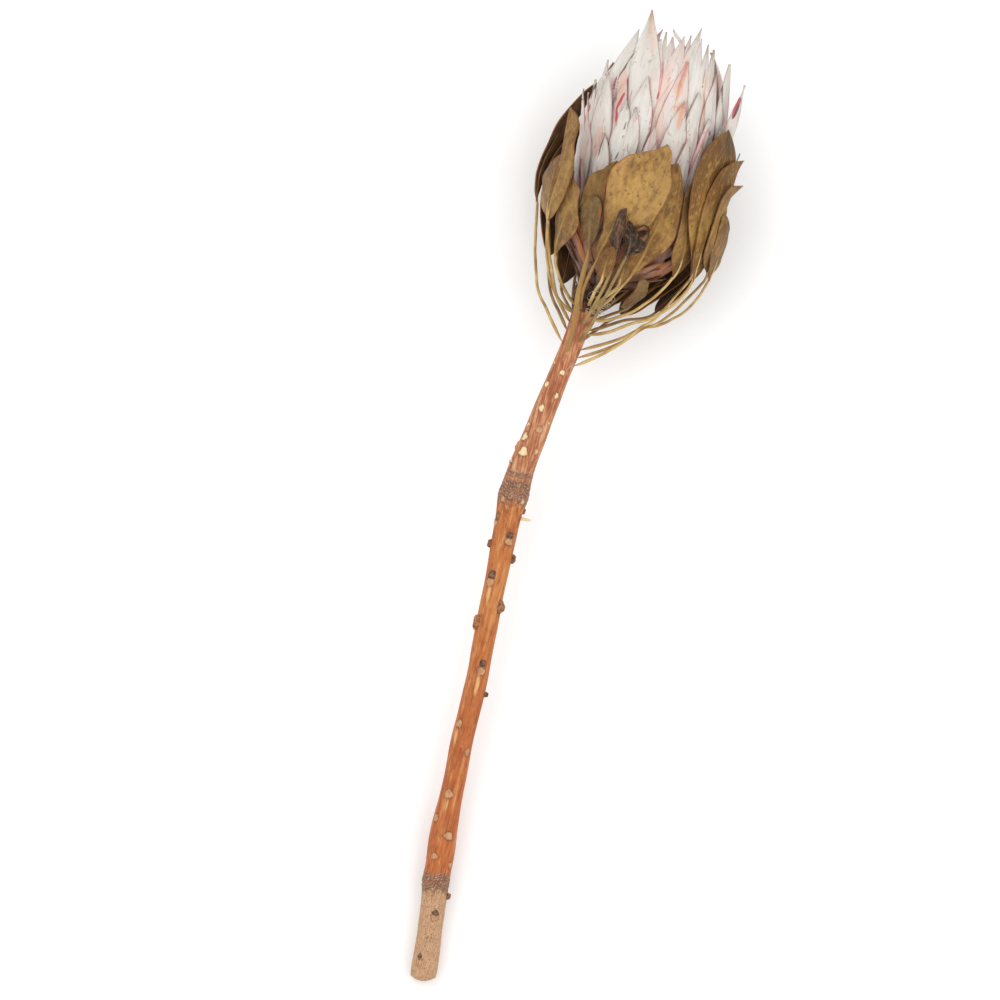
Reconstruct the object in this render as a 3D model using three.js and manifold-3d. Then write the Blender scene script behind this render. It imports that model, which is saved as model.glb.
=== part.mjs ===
// A dried king protea flower laid on its leaves: a woody stem, a cup of long pointed bracts round
// a dome of florets, and a whorl of stalked leathery leaves. Millimetres, +Z up.
// +Y runs from the cut end of the stem to the tips of the bracts; the middle of the plan is x 0, y 0.
// Angles go round the axis in degrees: 0 at +X, 90 up, 180 at -X, 270 down to the ground.

import * as THREE from "three";
import { mergeVertices } from "three/addons/utils/BufferGeometryUtils.js";
import Module from "manifold-3d";

const wasm = await Module();
wasm.setup();

// Driving dimensions. Distances along the flower are counted from the cut end of the stem.
const HEAD_START = 350;
const PLAN_MIDDLE = [11.3, 249];
const CUT_HEIGHT = 6.4;
const RISE = 0.0925;
const LEAF_THICKNESS = 0.8;
const BRACT_THICKNESS = 0.8;
const STALK_RADIUS = 0.9;
const FOOT_GAP = 0.45;
const CORE_TOP = 85;
const SEED = 41;

// Middle line of the flower in plan (distance along, place across) and the width of the stem.
const AXIS = [
  [0, -0.9], [10, -1.7], [20, -2.5], [30, -3.6], [40, -4.7], [50, -6], [60, -6.6], [80, -8.1],
  [100, -8.6], [120, -9.5], [150, -9.4], [170, -10.4], [200, -11.8], [230, -13], [246, -13.2],
  [260, -12.6], [280, -9.6], [300, -6.8], [320, -3.5], [340, -0.4], [350, 0.8], [360, 2.9],
  [370, 5.2], [380, 7.3], [390, 9.1], [400, 10.5], [415, 11.8], [430, 12.5], [450, 12.7],
  [500, 12.7],
];
const STEM_WIDTH = [
  [0, 12.8], [4, 13.4], [12, 13.2], [24, 12.6], [36, 12.8], [44, 13.2], [50, 14], [56, 13.6],
  [68, 14.2], [80, 13.2], [92, 11.7], [104, 11.4], [118, 11.4], [132, 11.2], [146, 11.3],
  [160, 11], [172, 11.2], [184, 11.4], [198, 11], [210, 11.5], [222, 12.2], [234, 12.8],
  [240, 14], [246, 15.6], [252, 14.6], [260, 13.6], [272, 12.8], [284, 12], [296, 11.6],
  [308, 10.8], [320, 10.8], [332, 11], [342, 12.4], [350, 14],
];

// Radius of the bract head and of the layer the leaves lie in, by distance above HEAD_START.
const HEAD_RADIUS = [
  [0, 7.5], [5, 8.5], [10, 10.8], [17, 18.5], [24, 25.5], [32, 30.5], [45, 36], [60, 38.5],
  [75, 39.5], [90, 39.5], [102, 39.2], [115, 36], [125, 32], [131, 28.5], [137, 24], [142, 19.5],
  [148, 15.5],
];
const LEAF_RADIUS = [
  [-34, 6], [-20, 7], [-10, 11], [0, 16], [10, 22], [20, 29], [30, 35.5], [45, 42], [60, 44.5],
  [75, 45], [90, 44], [105, 42], [120, 38],
];

// Leaves. Those that lie open to view have their margins and midrib drawn in plan, as x and y along
// the stem from the base to the tip, and lift, the height above the leaf layer at the base, halfway
// and at the tip. The others have base and tip: place along the head, angle, height; mid: angle and
// height halfway; width, and where along the blade it is widest. foot and bend of the stalk: place,
// angle (and radius at the bend).
const LEAVES = [
  { base: [34, 194, 8.5], mid: [200, 5.5], tip: [107, 214, -1], width: 20, widest: 0.5,
    foot: [-24, 182], bend: [3.5, 187, 31.2] },
  { left: [[-28.3, 384], [-29.2, 388], [-29.5, 394], [-29.6, 402], [-29.9, 412], [-30, 424],
      [-30.5, 434], [-30.6, 441.3]],
    rib: [[-28.3, 384], [-28.9, 390], [-29, 397], [-28.4, 404], [-27.8, 412], [-27.6, 424],
      [-28.7, 434], [-30.6, 441.3]],
    right: [[-28.3, 384], [-26.6, 386], [-25.2, 390], [-24, 395], [-23, 400], [-22.3, 406],
      [-22, 411], [-22.6, 416], [-23.8, 420.5], [-24.6, 424], [-24.9, 430], [-25.1, 434.5],
      [-27.3, 438.6], [-30.6, 441.3]],
    lift: [8, 6.4, 5], foot: [-13.5, 168], bend: [4, 160, 23.5] },
  { left: [[-29, 385.5], [-31.5, 388.5], [-33.8, 391], [-35.2, 394.5], [-36.1, 398.5],
      [-36.3, 402], [-35.9, 406], [-34.7, 410], [-33, 413.7], [-30.8, 416.8], [-28, 419.5]],
    rib: [[-29, 385.5], [-30.3, 392], [-31, 400], [-30.5, 408], [-29.3, 415], [-28, 419.5]],
    right: [[-29, 385.5], [-27.6, 389], [-26.8, 394], [-26.6, 402], [-26.6, 410], [-27.1, 416],
      [-28, 419.5]],
    lift: [4.4, 3.8, 2.8], foot: [-8.5, 182], bend: [4, 176, 24] },
  { left: [[-20.8, 368], [-22.3, 372.5], [-23.2, 377], [-23.9, 381], [-24.9, 385], [-25.2, 388],
      [-24.7, 392], [-23.7, 397], [-22.8, 402], [-22.1, 407], [-21.6, 411]],
    rib: [[-20.8, 368], [-21.3, 374], [-21, 382], [-20.4, 390], [-20.3, 398], [-21, 405],
      [-21.6, 411]],
    right: [[-20.8, 368], [-19.8, 371.5], [-17.6, 375], [-15.5, 378], [-13.8, 381], [-13, 384],
      [-13.1, 386.5], [-14.5, 390], [-15.7, 394], [-16.2, 398], [-16.4, 402],
      [-18.5, 404.6], [-20.5, 407], [-21.6, 411]],
    lift: [5, 4.4, 4.2], foot: [-4.5, 150], bend: [4, 150, 21] },
  { left: [[-5.2, 374], [-6.2, 376.5], [-8, 379.5], [-10, 383], [-12, 387], [-13.6, 391],
      [-14.4, 396], [-14.5, 402], [-14.1, 407], [-12.6, 411.5], [-10, 414], [-8, 414.9],
      [-6.3, 417.2], [-4, 419.4], [-2, 420.6]],
    rib: [[-5.2, 374], [-6, 380], [-7.5, 388], [-8.5, 396], [-8, 404], [-6.5, 411], [-4.2, 417],
      [-2, 420.6]],
    right: [[-5.2, 374], [-4.1, 377], [-3.3, 381], [-2.9, 386], [-2.1, 390], [-1.8, 394],
      [-2.5, 398], [-3.6, 402.5], [-4.2, 407], [-4, 412], [-3, 417], [-2, 420.6]],
    lift: [1.5, 0.3, 0.5], foot: [-28.5, 98], bend: [-5, 124, 13.5] },
  { left: [[0.3, 372], [-1.6, 376], [-1.4, 380], [-0.9, 385], [-1, 389], [-2, 394], [-3.1, 400],
      [-4, 406], [-4.2, 411], [-3.7, 415.5], [-2, 419.3], [0.5, 422.3], [3.2, 425],
      [7.8, 427], [12, 429.2], [16.2, 430.9], [18.5, 432.8], [20.9, 434.3]],
    rib: [[0.3, 372], [1.6, 378], [3.3, 385], [5.6, 393], [8, 400], [11, 406.5], [14.3, 413.5],
      [17.6, 420.5], [19.8, 427.5], [20.9, 434.3]],
    right: [[0.3, 372], [2, 376], [4.2, 380], [9, 385], [16, 389.5], [21.5, 393.5],
      [23.5, 398.2], [25.3, 402.3], [26.3, 406.5], [27.1, 411], [27.4, 415.5],
      [26.2, 420], [24.6, 425], [24.4, 428.5], [23.4, 431.5], [20.9, 434.3]],
    lift: [3.4, 2.8, 2.4], foot: [-6, 100], bend: [9, 104, 24.5] },
  { left: [[17.5, 365.5], [17.3, 370], [15, 375.5], [13, 380], [12, 386], [12.5, 394],
      [14, 403], [17, 412], [20.5, 419], [24.3, 424.7], [28, 426.3]],
    rib: [[17.5, 365.5], [19.3, 370.5], [21.3, 377], [23.2, 385], [25.2, 393], [26.5, 401],
      [27.5, 410], [28.2, 419], [28, 426.3]],
    right: [[17.5, 365.5], [20.3, 368], [23, 372.2], [26.5, 376.5], [29.8, 380.5], [32.6, 384],
      [34.4, 387.5], [35.2, 392], [35.2, 397], [34.7, 402], [34.1, 408], [33.5, 413],
      [32.6, 417.5], [31.2, 421], [29.6, 424.4], [28, 426.3]],
    lift: [1.8, 0.8, 0.8], foot: [-3, 44], bend: [8, 60, 20] },
  { left: [[8.2, 372], [7.4, 375], [6.4, 378], [4.4, 380.3], [3.2, 382.6], [3.7, 385.5],
      [4.2, 389], [4.4, 393], [5, 396], [6.6, 398], [8, 398.6]],
    rib: [[8.2, 372], [8, 380], [7, 388], [7, 394], [8, 398.6]],
    right: [[8.2, 372], [9, 375], [9.3, 380], [9.3, 385], [9.2, 389], [9, 393], [8.8, 396.5],
      [8, 398.6]],
    lift: [6.4, 5.8, 5.8], foot: [-13, 79], bend: [2, 80, 21] },
  { left: [[13.2, 374], [12.8, 378], [12, 381.5], [10.8, 384.5], [10.3, 388], [10.2, 391.5],
      [10.8, 393]],
    rib: [[13.2, 374], [14, 378], [14, 383], [12.5, 388], [10.8, 393]],
    right: [[13.2, 374], [15, 376.2], [18.6, 378.2], [21.3, 380.6], [22, 383], [21, 385.5],
      [18.5, 387.5], [15.5, 389.6], [13.5, 391.3], [11.9, 392.4], [10.8, 393]],
    lift: [5.8, 5.2, 6.4], foot: [-21, 54], bend: [-3, 71, 19] },
  { left: [[4.6, 361.5], [2, 364.3], [0.3, 367.3], [0.1, 370.5], [1, 374], [3, 376.9],
      [6.2, 378.6]],
    rib: [[4.6, 361.5], [4.6, 367], [4.9, 373], [6.2, 378.6]],
    right: [[4.6, 361.5], [7.2, 364.5], [8.7, 368], [9, 371.5], [8.5, 375], [7.6, 377.3],
      [6.2, 378.6]],
    lift: [7.6, 8.6, 8.8], foot: [-2.5, 84], bend: [4, 88, 22] },
  { left: [[13.4, 361.5], [11.3, 364.5], [10.2, 368.5], [10.4, 372.5], [11.5, 375.7],
      [13, 377.2]],
    rib: [[13.4, 361.5], [13.7, 366], [13.9, 371], [13, 377.2]],
    right: [[13.4, 361.5], [15.7, 364.3], [17.1, 367.3], [17.3, 370], [16.5, 373],
      [14.9, 375.7], [13, 377.2]],
    lift: [3.6, 3.4, 3.2], foot: [-6, 66], bend: [2, 71, 16.5] },
  { left: [[38.8, 371], [37.6, 375], [36.4, 379.5], [35.9, 384], [36, 389], [36, 395],
      [35.6, 401], [34.9, 407], [35, 411.5], [36.1, 416.5], [37.4, 421]],
    rib: [[38.8, 371], [40.6, 376], [41.1, 382], [40.9, 388], [39.8, 395], [38.6, 403],
      [37.8, 412], [37.4, 421]],
    right: [[38.8, 371], [41.5, 375], [44.3, 379.5], [45.2, 384], [44.2, 389], [41.9, 394],
      [40.6, 400], [39.6, 408], [38.7, 415], [37.4, 421]],
    lift: [2.4, -0.4, -0.6], foot: [-8, 18], bend: [1, 20, 21] },
  { left: [[47.2, 372], [46.8, 376], [46, 380], [45, 384], [43.8, 388], [42.4, 391.8],
      [41, 396], [39.8, 400], [38.8, 404.5], [38.1, 409], [37.6, 415], [37.5, 421],
      [37.8, 427], [38.8, 431.5], [40.1, 435.5], [41.6, 439.5], [43.2, 442.5],
      [45.2, 445], [48.7, 448.7]],
    rib: [[47.2, 372], [46.9, 380], [46, 390], [45, 400], [44, 412], [44, 424], [45.6, 436],
      [48.7, 448.7]],
    right: [[47.2, 372], [48.5, 376], [50.5, 382], [52, 390], [53, 400], [54, 410], [55, 420],
      [55.6, 428], [55.2, 434], [54.1, 438.8], [52.4, 442.8], [50.5, 446.2],
      [48.7, 448.7]],
    lift: [5.6, 1.7, 0.8], foot: [-33, 8], bend: [-4, 8.5, 29.2] },
  { left: [[48.6, 371], [48.4, 374], [47.6, 378], [47.2, 382.5], [46.6, 388], [45.9, 394],
      [45.4, 400], [45.4, 406], [45.8, 411.5], [46.4, 416.5], [47.4, 421], [48.9, 425.2],
      [50.5, 428.8], [52.6, 431.3], [55, 434], [57, 434.9], [59.5, 435.7]],
    rib: [[48.6, 371], [49.2, 378], [49.6, 388], [50, 398], [50.6, 408], [52, 418], [55, 428],
      [59.5, 435.7]],
    right: [[48.6, 371], [50.5, 375], [53, 382], [54.8, 390], [56, 400], [57, 410],
      [57.3, 417], [57, 423], [57.5, 428], [58.4, 432], [59.5, 435.7]],
    lift: [9.3, 4, 4.2], foot: [-16.5, 16], bend: [4, 25, 34] },
  { left: [[55.4, 372], [55.3, 375.5], [53.6, 379], [52.3, 382.5], [51.5, 387], [51.5, 393],
      [51.9, 399], [52.3, 405], [52.8, 410], [53.7, 414.5], [55, 418.3], [56.1, 420.8],
      [57.2, 422.4], [59.5, 422.9], [61.9, 423.4]],
    rib: [[55.4, 372], [55.2, 380], [54.6, 388], [54.4, 398], [54.8, 408], [56.4, 416],
      [61.9, 423.4]],
    right: [[55.4, 372], [56.5, 376], [57, 382], [57.2, 390], [57.2, 400], [57, 408],
      [56.6, 413.5], [58.2, 417], [60, 420.2], [61.9, 423.4]],
    lift: [11.2, 6.9, 7.4], foot: [-28.5, -8], bend: [-2, 1.5, 31.6] },
  { left: [[56.4, 373.5], [55.6, 377.5], [55, 382], [54.9, 388], [55.1, 395], [55.5, 401],
      [55.9, 405.5], [56.8, 407.4]],
    rib: [[56.4, 373.5], [57.8, 380], [58.6, 388], [58.9, 396], [58.3, 402], [56.8, 407.4]],
    right: [[56.4, 373.5], [57.6, 377.5], [58.8, 381], [59.9, 385], [60.7, 389.5],
      [61.2, 394], [61.3, 398], [60.9, 401.3], [59.9, 403.5], [58.6, 405.7],
      [56.8, 407.4]],
    lift: [14.2, 10.5, 9.4], foot: [-24.5, -26], bend: [2, -13, 36.2] },
  { base: [12, 218, 12], mid: [213, 5], tip: [88, 221, 0.8], width: 27, widest: 0.42,
    foot: [-18, 205], bend: [0, 211, 25] },
  { base: [2, 226, 6], mid: [233, 0.6], tip: [76, 239, 0.4], width: 24, widest: 0.4,
    foot: [-9, 226], bend: [-4, 226, 15.5] },
  { base: [20, 246, 7], mid: [249, 3.8], tip: [84, 247, 4], width: 23, widest: 0.5,
    foot: [-12, 243], bend: [3, 245, 23] },
  { base: [16, 270, 1], mid: [270, -2], tip: [80, 270, -1.4], width: 19, widest: 0.5,
    foot: [-7, 270], bend: [4, 270, 17.5] },
  { base: [20, 294, 6], mid: [291, 3.8], tip: [82, 293, 4], width: 23, widest: 0.5,
    foot: [-16, 290], bend: [2, 292, 23] },
  { base: [13, 306, 1.6], mid: [306, 0.6], tip: [74, 302, 0.8], width: 22, widest: 0.5,
    foot: [-3.5, 312], bend: [4, 309, 17] },
  { base: [0, 312, 11], mid: [324, 4.4], tip: [78, 326, 2.8], width: 26, widest: 0.4,
    foot: [-20, 318], bend: [-8, 314, 16.5] },
  { base: [3, 300, 5], mid: [302, 4.1], tip: [23, 301, 3.9], width: 7, widest: 0.5,
    foot: [-8.5, 302], bend: [-3, 301, 14.5] },
  { base: [17, 326, 2.4], mid: [327, 2.2], tip: [33, 327, 2], width: 7, widest: 0.5,
    foot: [-9, 340], bend: [4, 330, 21] },
  { base: [9, 340, 13.2], mid: [342, 6.5], tip: [72, 345, 4], width: 25, widest: 0.42,
    foot: [-14, 342], bend: [-1, 341, 24] },
];

// Bracts on the upper side, as seen from above: foot x, y; tip x, y; width; how far the tip leans
// out; 1 for the upper half of the head, -1 for the half behind it. x and y as along the stem.
const BRACTS = [
  [1, 425, -2, 498.3, 15.5, 4, 1], [-15, 425, -6.7, 487.5, 9.5, 0, 1],
  [-20, 410, -18, 469, 9, 0, 1], [-13, 405, -16.7, 463, 13, 0, 1],
  [-18, 400, -27, 452.5, 8, 1.5, 1], [-16, 395, -24, 451, 7, 0, 1],
  [-16, 385, -19.3, 418, 6, 0, 1], [-9, 395, -10.8, 433, 9.5, 0, 1],
  [-4, 405, -3.8, 451.3, 10, 0, 1], [1, 420, 6, 485, 13.5, 0, 1],
  [3, 410, 2.7, 465.3, 13, 0, 1], [1, 405, 2, 449, 8, 0, 1],
  [12, 425, 16, 489, 11.5, 0, 1], [18, 405, 20.2, 477, 13.5, 0, 1],
  [21, 395, 23.7, 457.3, 13, 0, 1], [20, 425, 23.7, 495, 9, 1, 1],
  [27, 420, 25.7, 490, 9, 0, 1], [34, 415, 29, 488, 9, 0, 1],
  [40, 425, 31.7, 486, 6, 0, 1], [39, 405, 36.8, 475.5, 9.5, 0, 1],
  [47, 415, 41.3, 481, 8, 3, 1], [50, 410, 51.8, 472.5, 8, 7, 1],
  [31, 400, 29.5, 463.5, 9, 0, 1], [30, 390, 30, 439.5, 9, 0, 1],
  [37, 395, 37.5, 452, 8, 0, 1], [36, 385, 37, 437, 7.5, 0, 1],
  [50, 395, 57, 439, 8, 6, 1], [10, 430, 7.7, 489.2, 6, 0, -1],
  [14, 430, 9.5, 491, 6, 0, -1], [18, 430, 19.7, 490.4, 7, 0, -1],
  [-9, 420, -7.5, 463, 10, -3, 1], [10, 435, 10, 479, 8, -3, 1],
];

// Leaf scars and bud stumps of the stem: x, y in plan, length, width, height, side (1 up, -1 down).
const SCARS = [
  [-4.5, 8, 3.4, 3, 0.9, 1], [-5, 10.8, 2.6, 3.4, 1.3, 1], [-2.2, 31.7, 3.6, 3.6, 0.9, 1],
  [-2.3, 34, 2.6, 4, 1.4, 1], [-7.5, 43, 3, 3.6, 1, 1], [1.4, 43.6, 3, 2.4, 3, 1],
  [-9.5, 61.5, 3, 3.6, 0.8, 1], [-5, 73, 3.8, 4.6, 0.9, 1], [-13.2, 80.5, 4, 3, 0.9, 1],
  [-9.8, 93.5, 4.4, 4.2, 0.9, 1], [-5.6, 116, 4.2, 3, 0.9, 1], [-13, 129, 4, 3.6, 0.9, 1],
  [-3.8, 146.3, 2.6, 2, 2.6, 1], [-8.4, 159.8, 7, 4, 1.5, 1], [-15.9, 180.4, 7, 3.4, 4, 1],
  [-6.4, 190.5, 6.6, 4.2, 2.6, 1], [-14.4, 204.6, 7, 4.6, 1.8, 1], [-18.6, 220.5, 4, 2.4, 3, 1],
  [-6.3, 215.4, 4.6, 2.6, 3, 1], [-10.2, 225.4, 6, 4, 1.6, 1], [-18.6, 233.4, 5.4, 3, 1.4, 1],
  [-7.8, 244.3, 3.6, 2.8, 1, 1], [-13.5, 269, 5, 4, 0.9, 1], [-14.5, 276.5, 4.6, 3, 0.9, 1],
  [-9.7, 292.3, 3.4, 3, 0.9, 1], [-3.9, 300, 3, 2.2, 0.9, 1], [-10, 304.5, 3.2, 2.5, 0.9, 1],
  [-3.8, 312, 2.8, 2.6, 0.9, 1], [-6, 66, 4, 4, 0.9, -1], [-11, 104, 4, 4, 0.9, -1],
  [-8, 138, 4, 4, 0.9, -1], [-12, 176, 5, 4, 1.2, -1], [-15, 262, 4, 4, 0.9, -1],
  [-6, 286, 4, 3.4, 0.9, -1], [-8, 306, 4, 3.4, 0.9, -1],
];

const LEAF_COLOUR = 0x9a7a45;
const DARK_LEAF = 0x6d5230;
const BURNT_LEAF = 0x4a3b38;

// Seeded random numbers, 0 to 1.
let state = SEED;
function random() {
  state = (state * 16807) % 2147483647;
  return state / 2147483647;
}

// Smooth curve through points [x, y], flat beyond its ends.
function curve(points, x) {
  const last = points.length - 1;
  if (x <= points[0][0]) return points[0][1];
  if (x >= points[last][0]) return points[last][1];
  let i = 0;
  while (points[i + 1][0] <= x) i++;
  const slope = (k) => {
    const low = points[Math.max(k - 1, 0)];
    const high = points[Math.min(k + 1, last)];
    return (high[1] - low[1]) / (high[0] - low[0]);
  };
  const h = points[i + 1][0] - points[i][0];
  return hermite(points[i][1], h * slope(i), points[i + 1][1], h * slope(i + 1), (x - points[i][0]) / h);
}

// Cubic between two values with the slopes given at both.
function hermite(p, dp, q, dq, t) {
  const t2 = t * t;
  const t3 = t2 * t;
  return (2 * t3 - 3 * t2 + 1) * p + (t3 - 2 * t2 + t) * dp + (3 * t2 - 2 * t3) * q + (t3 - t2) * dq;
}

// Parabola through a value at 0, at a half and at 1.
function through(start, middle, end, t) {
  return start * (1 - t) * (1 - 2 * t) + middle * 4 * t * (1 - t) + end * t * (2 * t - 1);
}

function lean(y) {
  return Math.atan((curve(AXIS, y + 1) - curve(AXIS, y - 1)) / 2);
}

// Place in the part: along the head, angle round the axis, radius.
function at(along, degrees, radius) {
  const y = HEAD_START + along;
  const side = radius * Math.cos((degrees * Math.PI) / 180);
  const up = radius * Math.sin((degrees * Math.PI) / 180);
  return new THREE.Vector3(
    curve(AXIS, y) + side * Math.cos(lean(y)) - PLAN_MIDDLE[0],
    y - side * Math.sin(lean(y)) - PLAN_MIDDLE[1],
    CUT_HEIGHT + RISE * y + up,
  );
}

// The reverse, for a place in plan: how far along the head it is and how far to the side.
function headPlace(x, y) {
  let low = y - 40;
  let high = y + 40;
  for (let i = 0; i < 40; i++) {
    const s = (low + high) / 2;
    const ahead = (y - s) * Math.cos(lean(s)) + (x - curve(AXIS, s)) * Math.sin(lean(s));
    if (ahead > 0) low = s;
    else high = s;
  }
  const turn = lean(low);
  return [low - HEAD_START, (x - curve(AXIS, low)) * Math.cos(turn) - (y - low) * Math.sin(turn)];
}

function angleFor(side, radius, half) {
  const cosine = Math.max(-1, Math.min(1, side / radius));
  return (half * Math.acos(cosine) * 180) / Math.PI;
}

// Every vertex of a plain geometry moved to the place its own coordinates give.
function mapped(geometry, place) {
  const position = geometry.attributes.position;
  for (let i = 0; i < position.count; i++) {
    const p = place(position.getX(i), position.getY(i), position.getZ(i));
    position.setXYZ(i, p.x, p.y, p.z);
  }
  return geometry;
}

function solid(geometry) {
  geometry.deleteAttribute("normal");
  geometry.deleteAttribute("uv");
  const merged = mergeVertices(geometry, 1e-5);
  return new wasm.Manifold(
    new wasm.Mesh({
      numProp: 3,
      vertProperties: Float32Array.from(merged.attributes.position.array),
      triVerts: Uint32Array.from(merged.index.array),
    }),
  );
}

// A thin blade: across -1 to 1, along 0 to 1, face -1 (inner) or 1 (outer).
function blade(across, lengths, place) {
  const box = new THREE.BoxGeometry(2, 1, 2, across, lengths, 1);
  box.translate(0, 0.5, 0);
  return solid(mapped(box, place));
}

// A round stalk along a path of places, the first ring lying flat against the stem.
function stalk(path, radii) {
  const steps = path.length - 1;
  const tube = new THREE.CylinderGeometry(1, 1, 1, 5, steps, false);
  tube.translate(0, 0.5, 0);
  return solid(
    mapped(tube, (x, y, z) => {
      const i = Math.round(y * steps);
      const [along, degrees] = path[i];
      const centre = at(...path[i]);
      const turned = at(along, degrees + 90, 1).sub(at(along, degrees, 0)).normalize();
      const before = at(...path[Math.max(i - 1, 0)]);
      const after = at(...path[Math.min(i + 1, steps)]);
      const forward = i === 0 ? centre.clone().sub(at(along, degrees, 0)) : after.sub(before);
      forward.normalize();
      const u = turned.addScaledVector(forward, -turned.dot(forward)).normalize();
      const v = new THREE.Vector3().crossVectors(u, forward);
      return centre.addScaledVector(u, x * radii[i]).addScaledVector(v, z * radii[i]);
    }),
  );
}

// Nothing goes below the ground: the outer face is pressed flat on it, the inner one stays above.
function pressed(point, least) {
  point.z = Math.max(point.z, least);
  return point;
}

function layerRadius(leaf, along) {
  const [first, last] = leaf.ends;
  return curve(LEAF_RADIUS, along) + through(...leaf.lift, (along - first) / (last - first));
}

// A leaf with the ends of its blade along the head, its three heights, and, where it is drawn in
// plan, its lines as angles on its layer.
function laidOut(leaf) {
  if (!leaf.rib) {
    const lift = [leaf.base[2], leaf.mid[1], leaf.tip[2]];
    return { ...leaf, ends: [leaf.base[0], leaf.tip[0]], lift };
  }
  const ends = [leaf.rib[0], leaf.rib[leaf.rib.length - 1]].map(([x, y]) => headPlace(x, y)[0]);
  const angles = (line) =>
    line.map(([x, y]) => {
      const [along, side] = headPlace(x, y);
      return [along, angleFor(side, layerRadius({ ends, lift: leaf.lift }, along), 1)];
    });
  return { ...leaf, ends, left: angles(leaf.left), rib: angles(leaf.rib), right: angles(leaf.right) };
}

// Angles of a blade's left margin, middle and right margin at t.
function leafAngles(leaf, t) {
  const along = leaf.ends[0] + (leaf.ends[1] - leaf.ends[0]) * t;
  const toDegrees = 180 / Math.PI / layerRadius(leaf, along);
  const least = (1.25 - 0.75 * t) * toDegrees;
  if (leaf.rib) {
    const middle = curve(leaf.rib, along);
    const left = Math.max(curve(leaf.left, along), middle + least);
    return [left, middle, Math.min(curve(leaf.right, along), middle - least)];
  }
  const skew = Math.log(0.5) / Math.log(leaf.widest);
  const swell = Math.max(0, Math.sin(Math.PI * Math.pow(t, skew)));
  const half = Math.max((leaf.width / 2) * Math.pow(swell, 0.72) * toDegrees, least);
  const middle = through(leaf.base[1], leaf.mid[0], leaf.tip[1], t);
  return [middle + half, middle, middle - half];
}

// Midline of a leaf at t: place along the head, angle, radius.
function midline(leaf, t) {
  const along = leaf.ends[0] + (leaf.ends[1] - leaf.ends[0]) * t;
  return [along, leafAngles(leaf, t)[1], layerRadius(leaf, along)];
}

function leafSolid(plan) {
  const leaf = laidOut(plan);
  const small = leaf.ends[1] - leaf.ends[0] < 28;
  const body = blade(small ? 2 : 4, small ? 5 : 7, (s, y, face) => {
    const t = 0.5 * y + 0.25 * (1 - Math.cos(Math.PI * y));
    const [along, middle, radius] = midline(leaf, t);
    const [left, , right] = leafAngles(leaf, t);
    const degrees = middle + (s < 0 ? (left - middle) * -s : (right - middle) * s);
    const rib = face > 0 && Math.abs(s) < 0.1 ? 0.6 * (1 - t) : 0;
    const point = at(along, degrees, radius + rib + (face * LEAF_THICKNESS) / 2);
    return pressed(point, face > 0 ? 0 : LEAF_THICKNESS);
  });
  const [footAlong, footAngle] = leaf.foot;
  const stemRadius = curve(STEM_WIDTH, HEAD_START + footAlong) / 2;
  const foot = [footAlong, footAngle, stemRadius + FOOT_GAP];
  const base = midline(leaf, 0);
  const ahead = midline(leaf, 0.1);
  const reach = base[0] - leaf.bend[0];
  const path = [];
  const radii = [];
  for (let i = 0; i <= 4; i++) {
    const t = i / 4;
    const place = [0, 1, 2].map((k) => {
      const whole = (base[k] - foot[k]) / 2;
      const first = 2 * (leaf.bend[k] - foot[k]) - whole;
      const last = ((ahead[k] - base[k]) / (ahead[0] - base[0])) * reach;
      if (t < 0.5) return hermite(foot[k], first, leaf.bend[k], whole, 2 * t);
      return hermite(leaf.bend[k], whole, base[k], last, 2 * t - 1);
    });
    path.push(place);
    radii.push(STALK_RADIUS * (1.1 - 0.1 * t));
  }
  path.push(midline(leaf, 0.1));
  radii.push(0.3);
  return body.add(stalk(path, radii));
}

// One bract: foot and tip along the head, its angle as a function, width, lean of the tip.
function bractSolid(foot, tip, angle, width, out, lengths) {
  return blade(2, lengths, (s, t, face) => {
    const along = foot + (tip - foot) * t;
    const sunk = 0.1 * (tip - along) + 3 * (1 - t) * (1 - t);
    const radius = curve(HEAD_RADIUS, along) - sunk + out * t * t;
    const narrow = t < 0.55 ? 0.6 + 0.4 * (t / 0.55) : 1 - Math.pow((t - 0.55) / 0.45, 1.7);
    const half = Math.max((width / 2) * narrow, 0.5);
    const turn = ((s * half) / radius) * (180 / Math.PI);
    const cupped = radius - 0.7 * s * s + (face * BRACT_THICKNESS) / 2;
    return pressed(at(along, angle(t, radius) - turn, cupped), 0);
  });
}

// A solid of revolution round the axis, from [along, radius] points.
function turnedSolid(profile, sides) {
  const shape = profile.map(([along, radius]) => new THREE.Vector2(radius, along));
  const lathe = new THREE.LatheGeometry(shape, sides);
  return solid(
    mapped(lathe, (x, y, z) => {
      const radius = Math.hypot(x, z);
      return at(y, (Math.atan2(z, x) * 180) / Math.PI, radius);
    }),
  );
}

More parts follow.
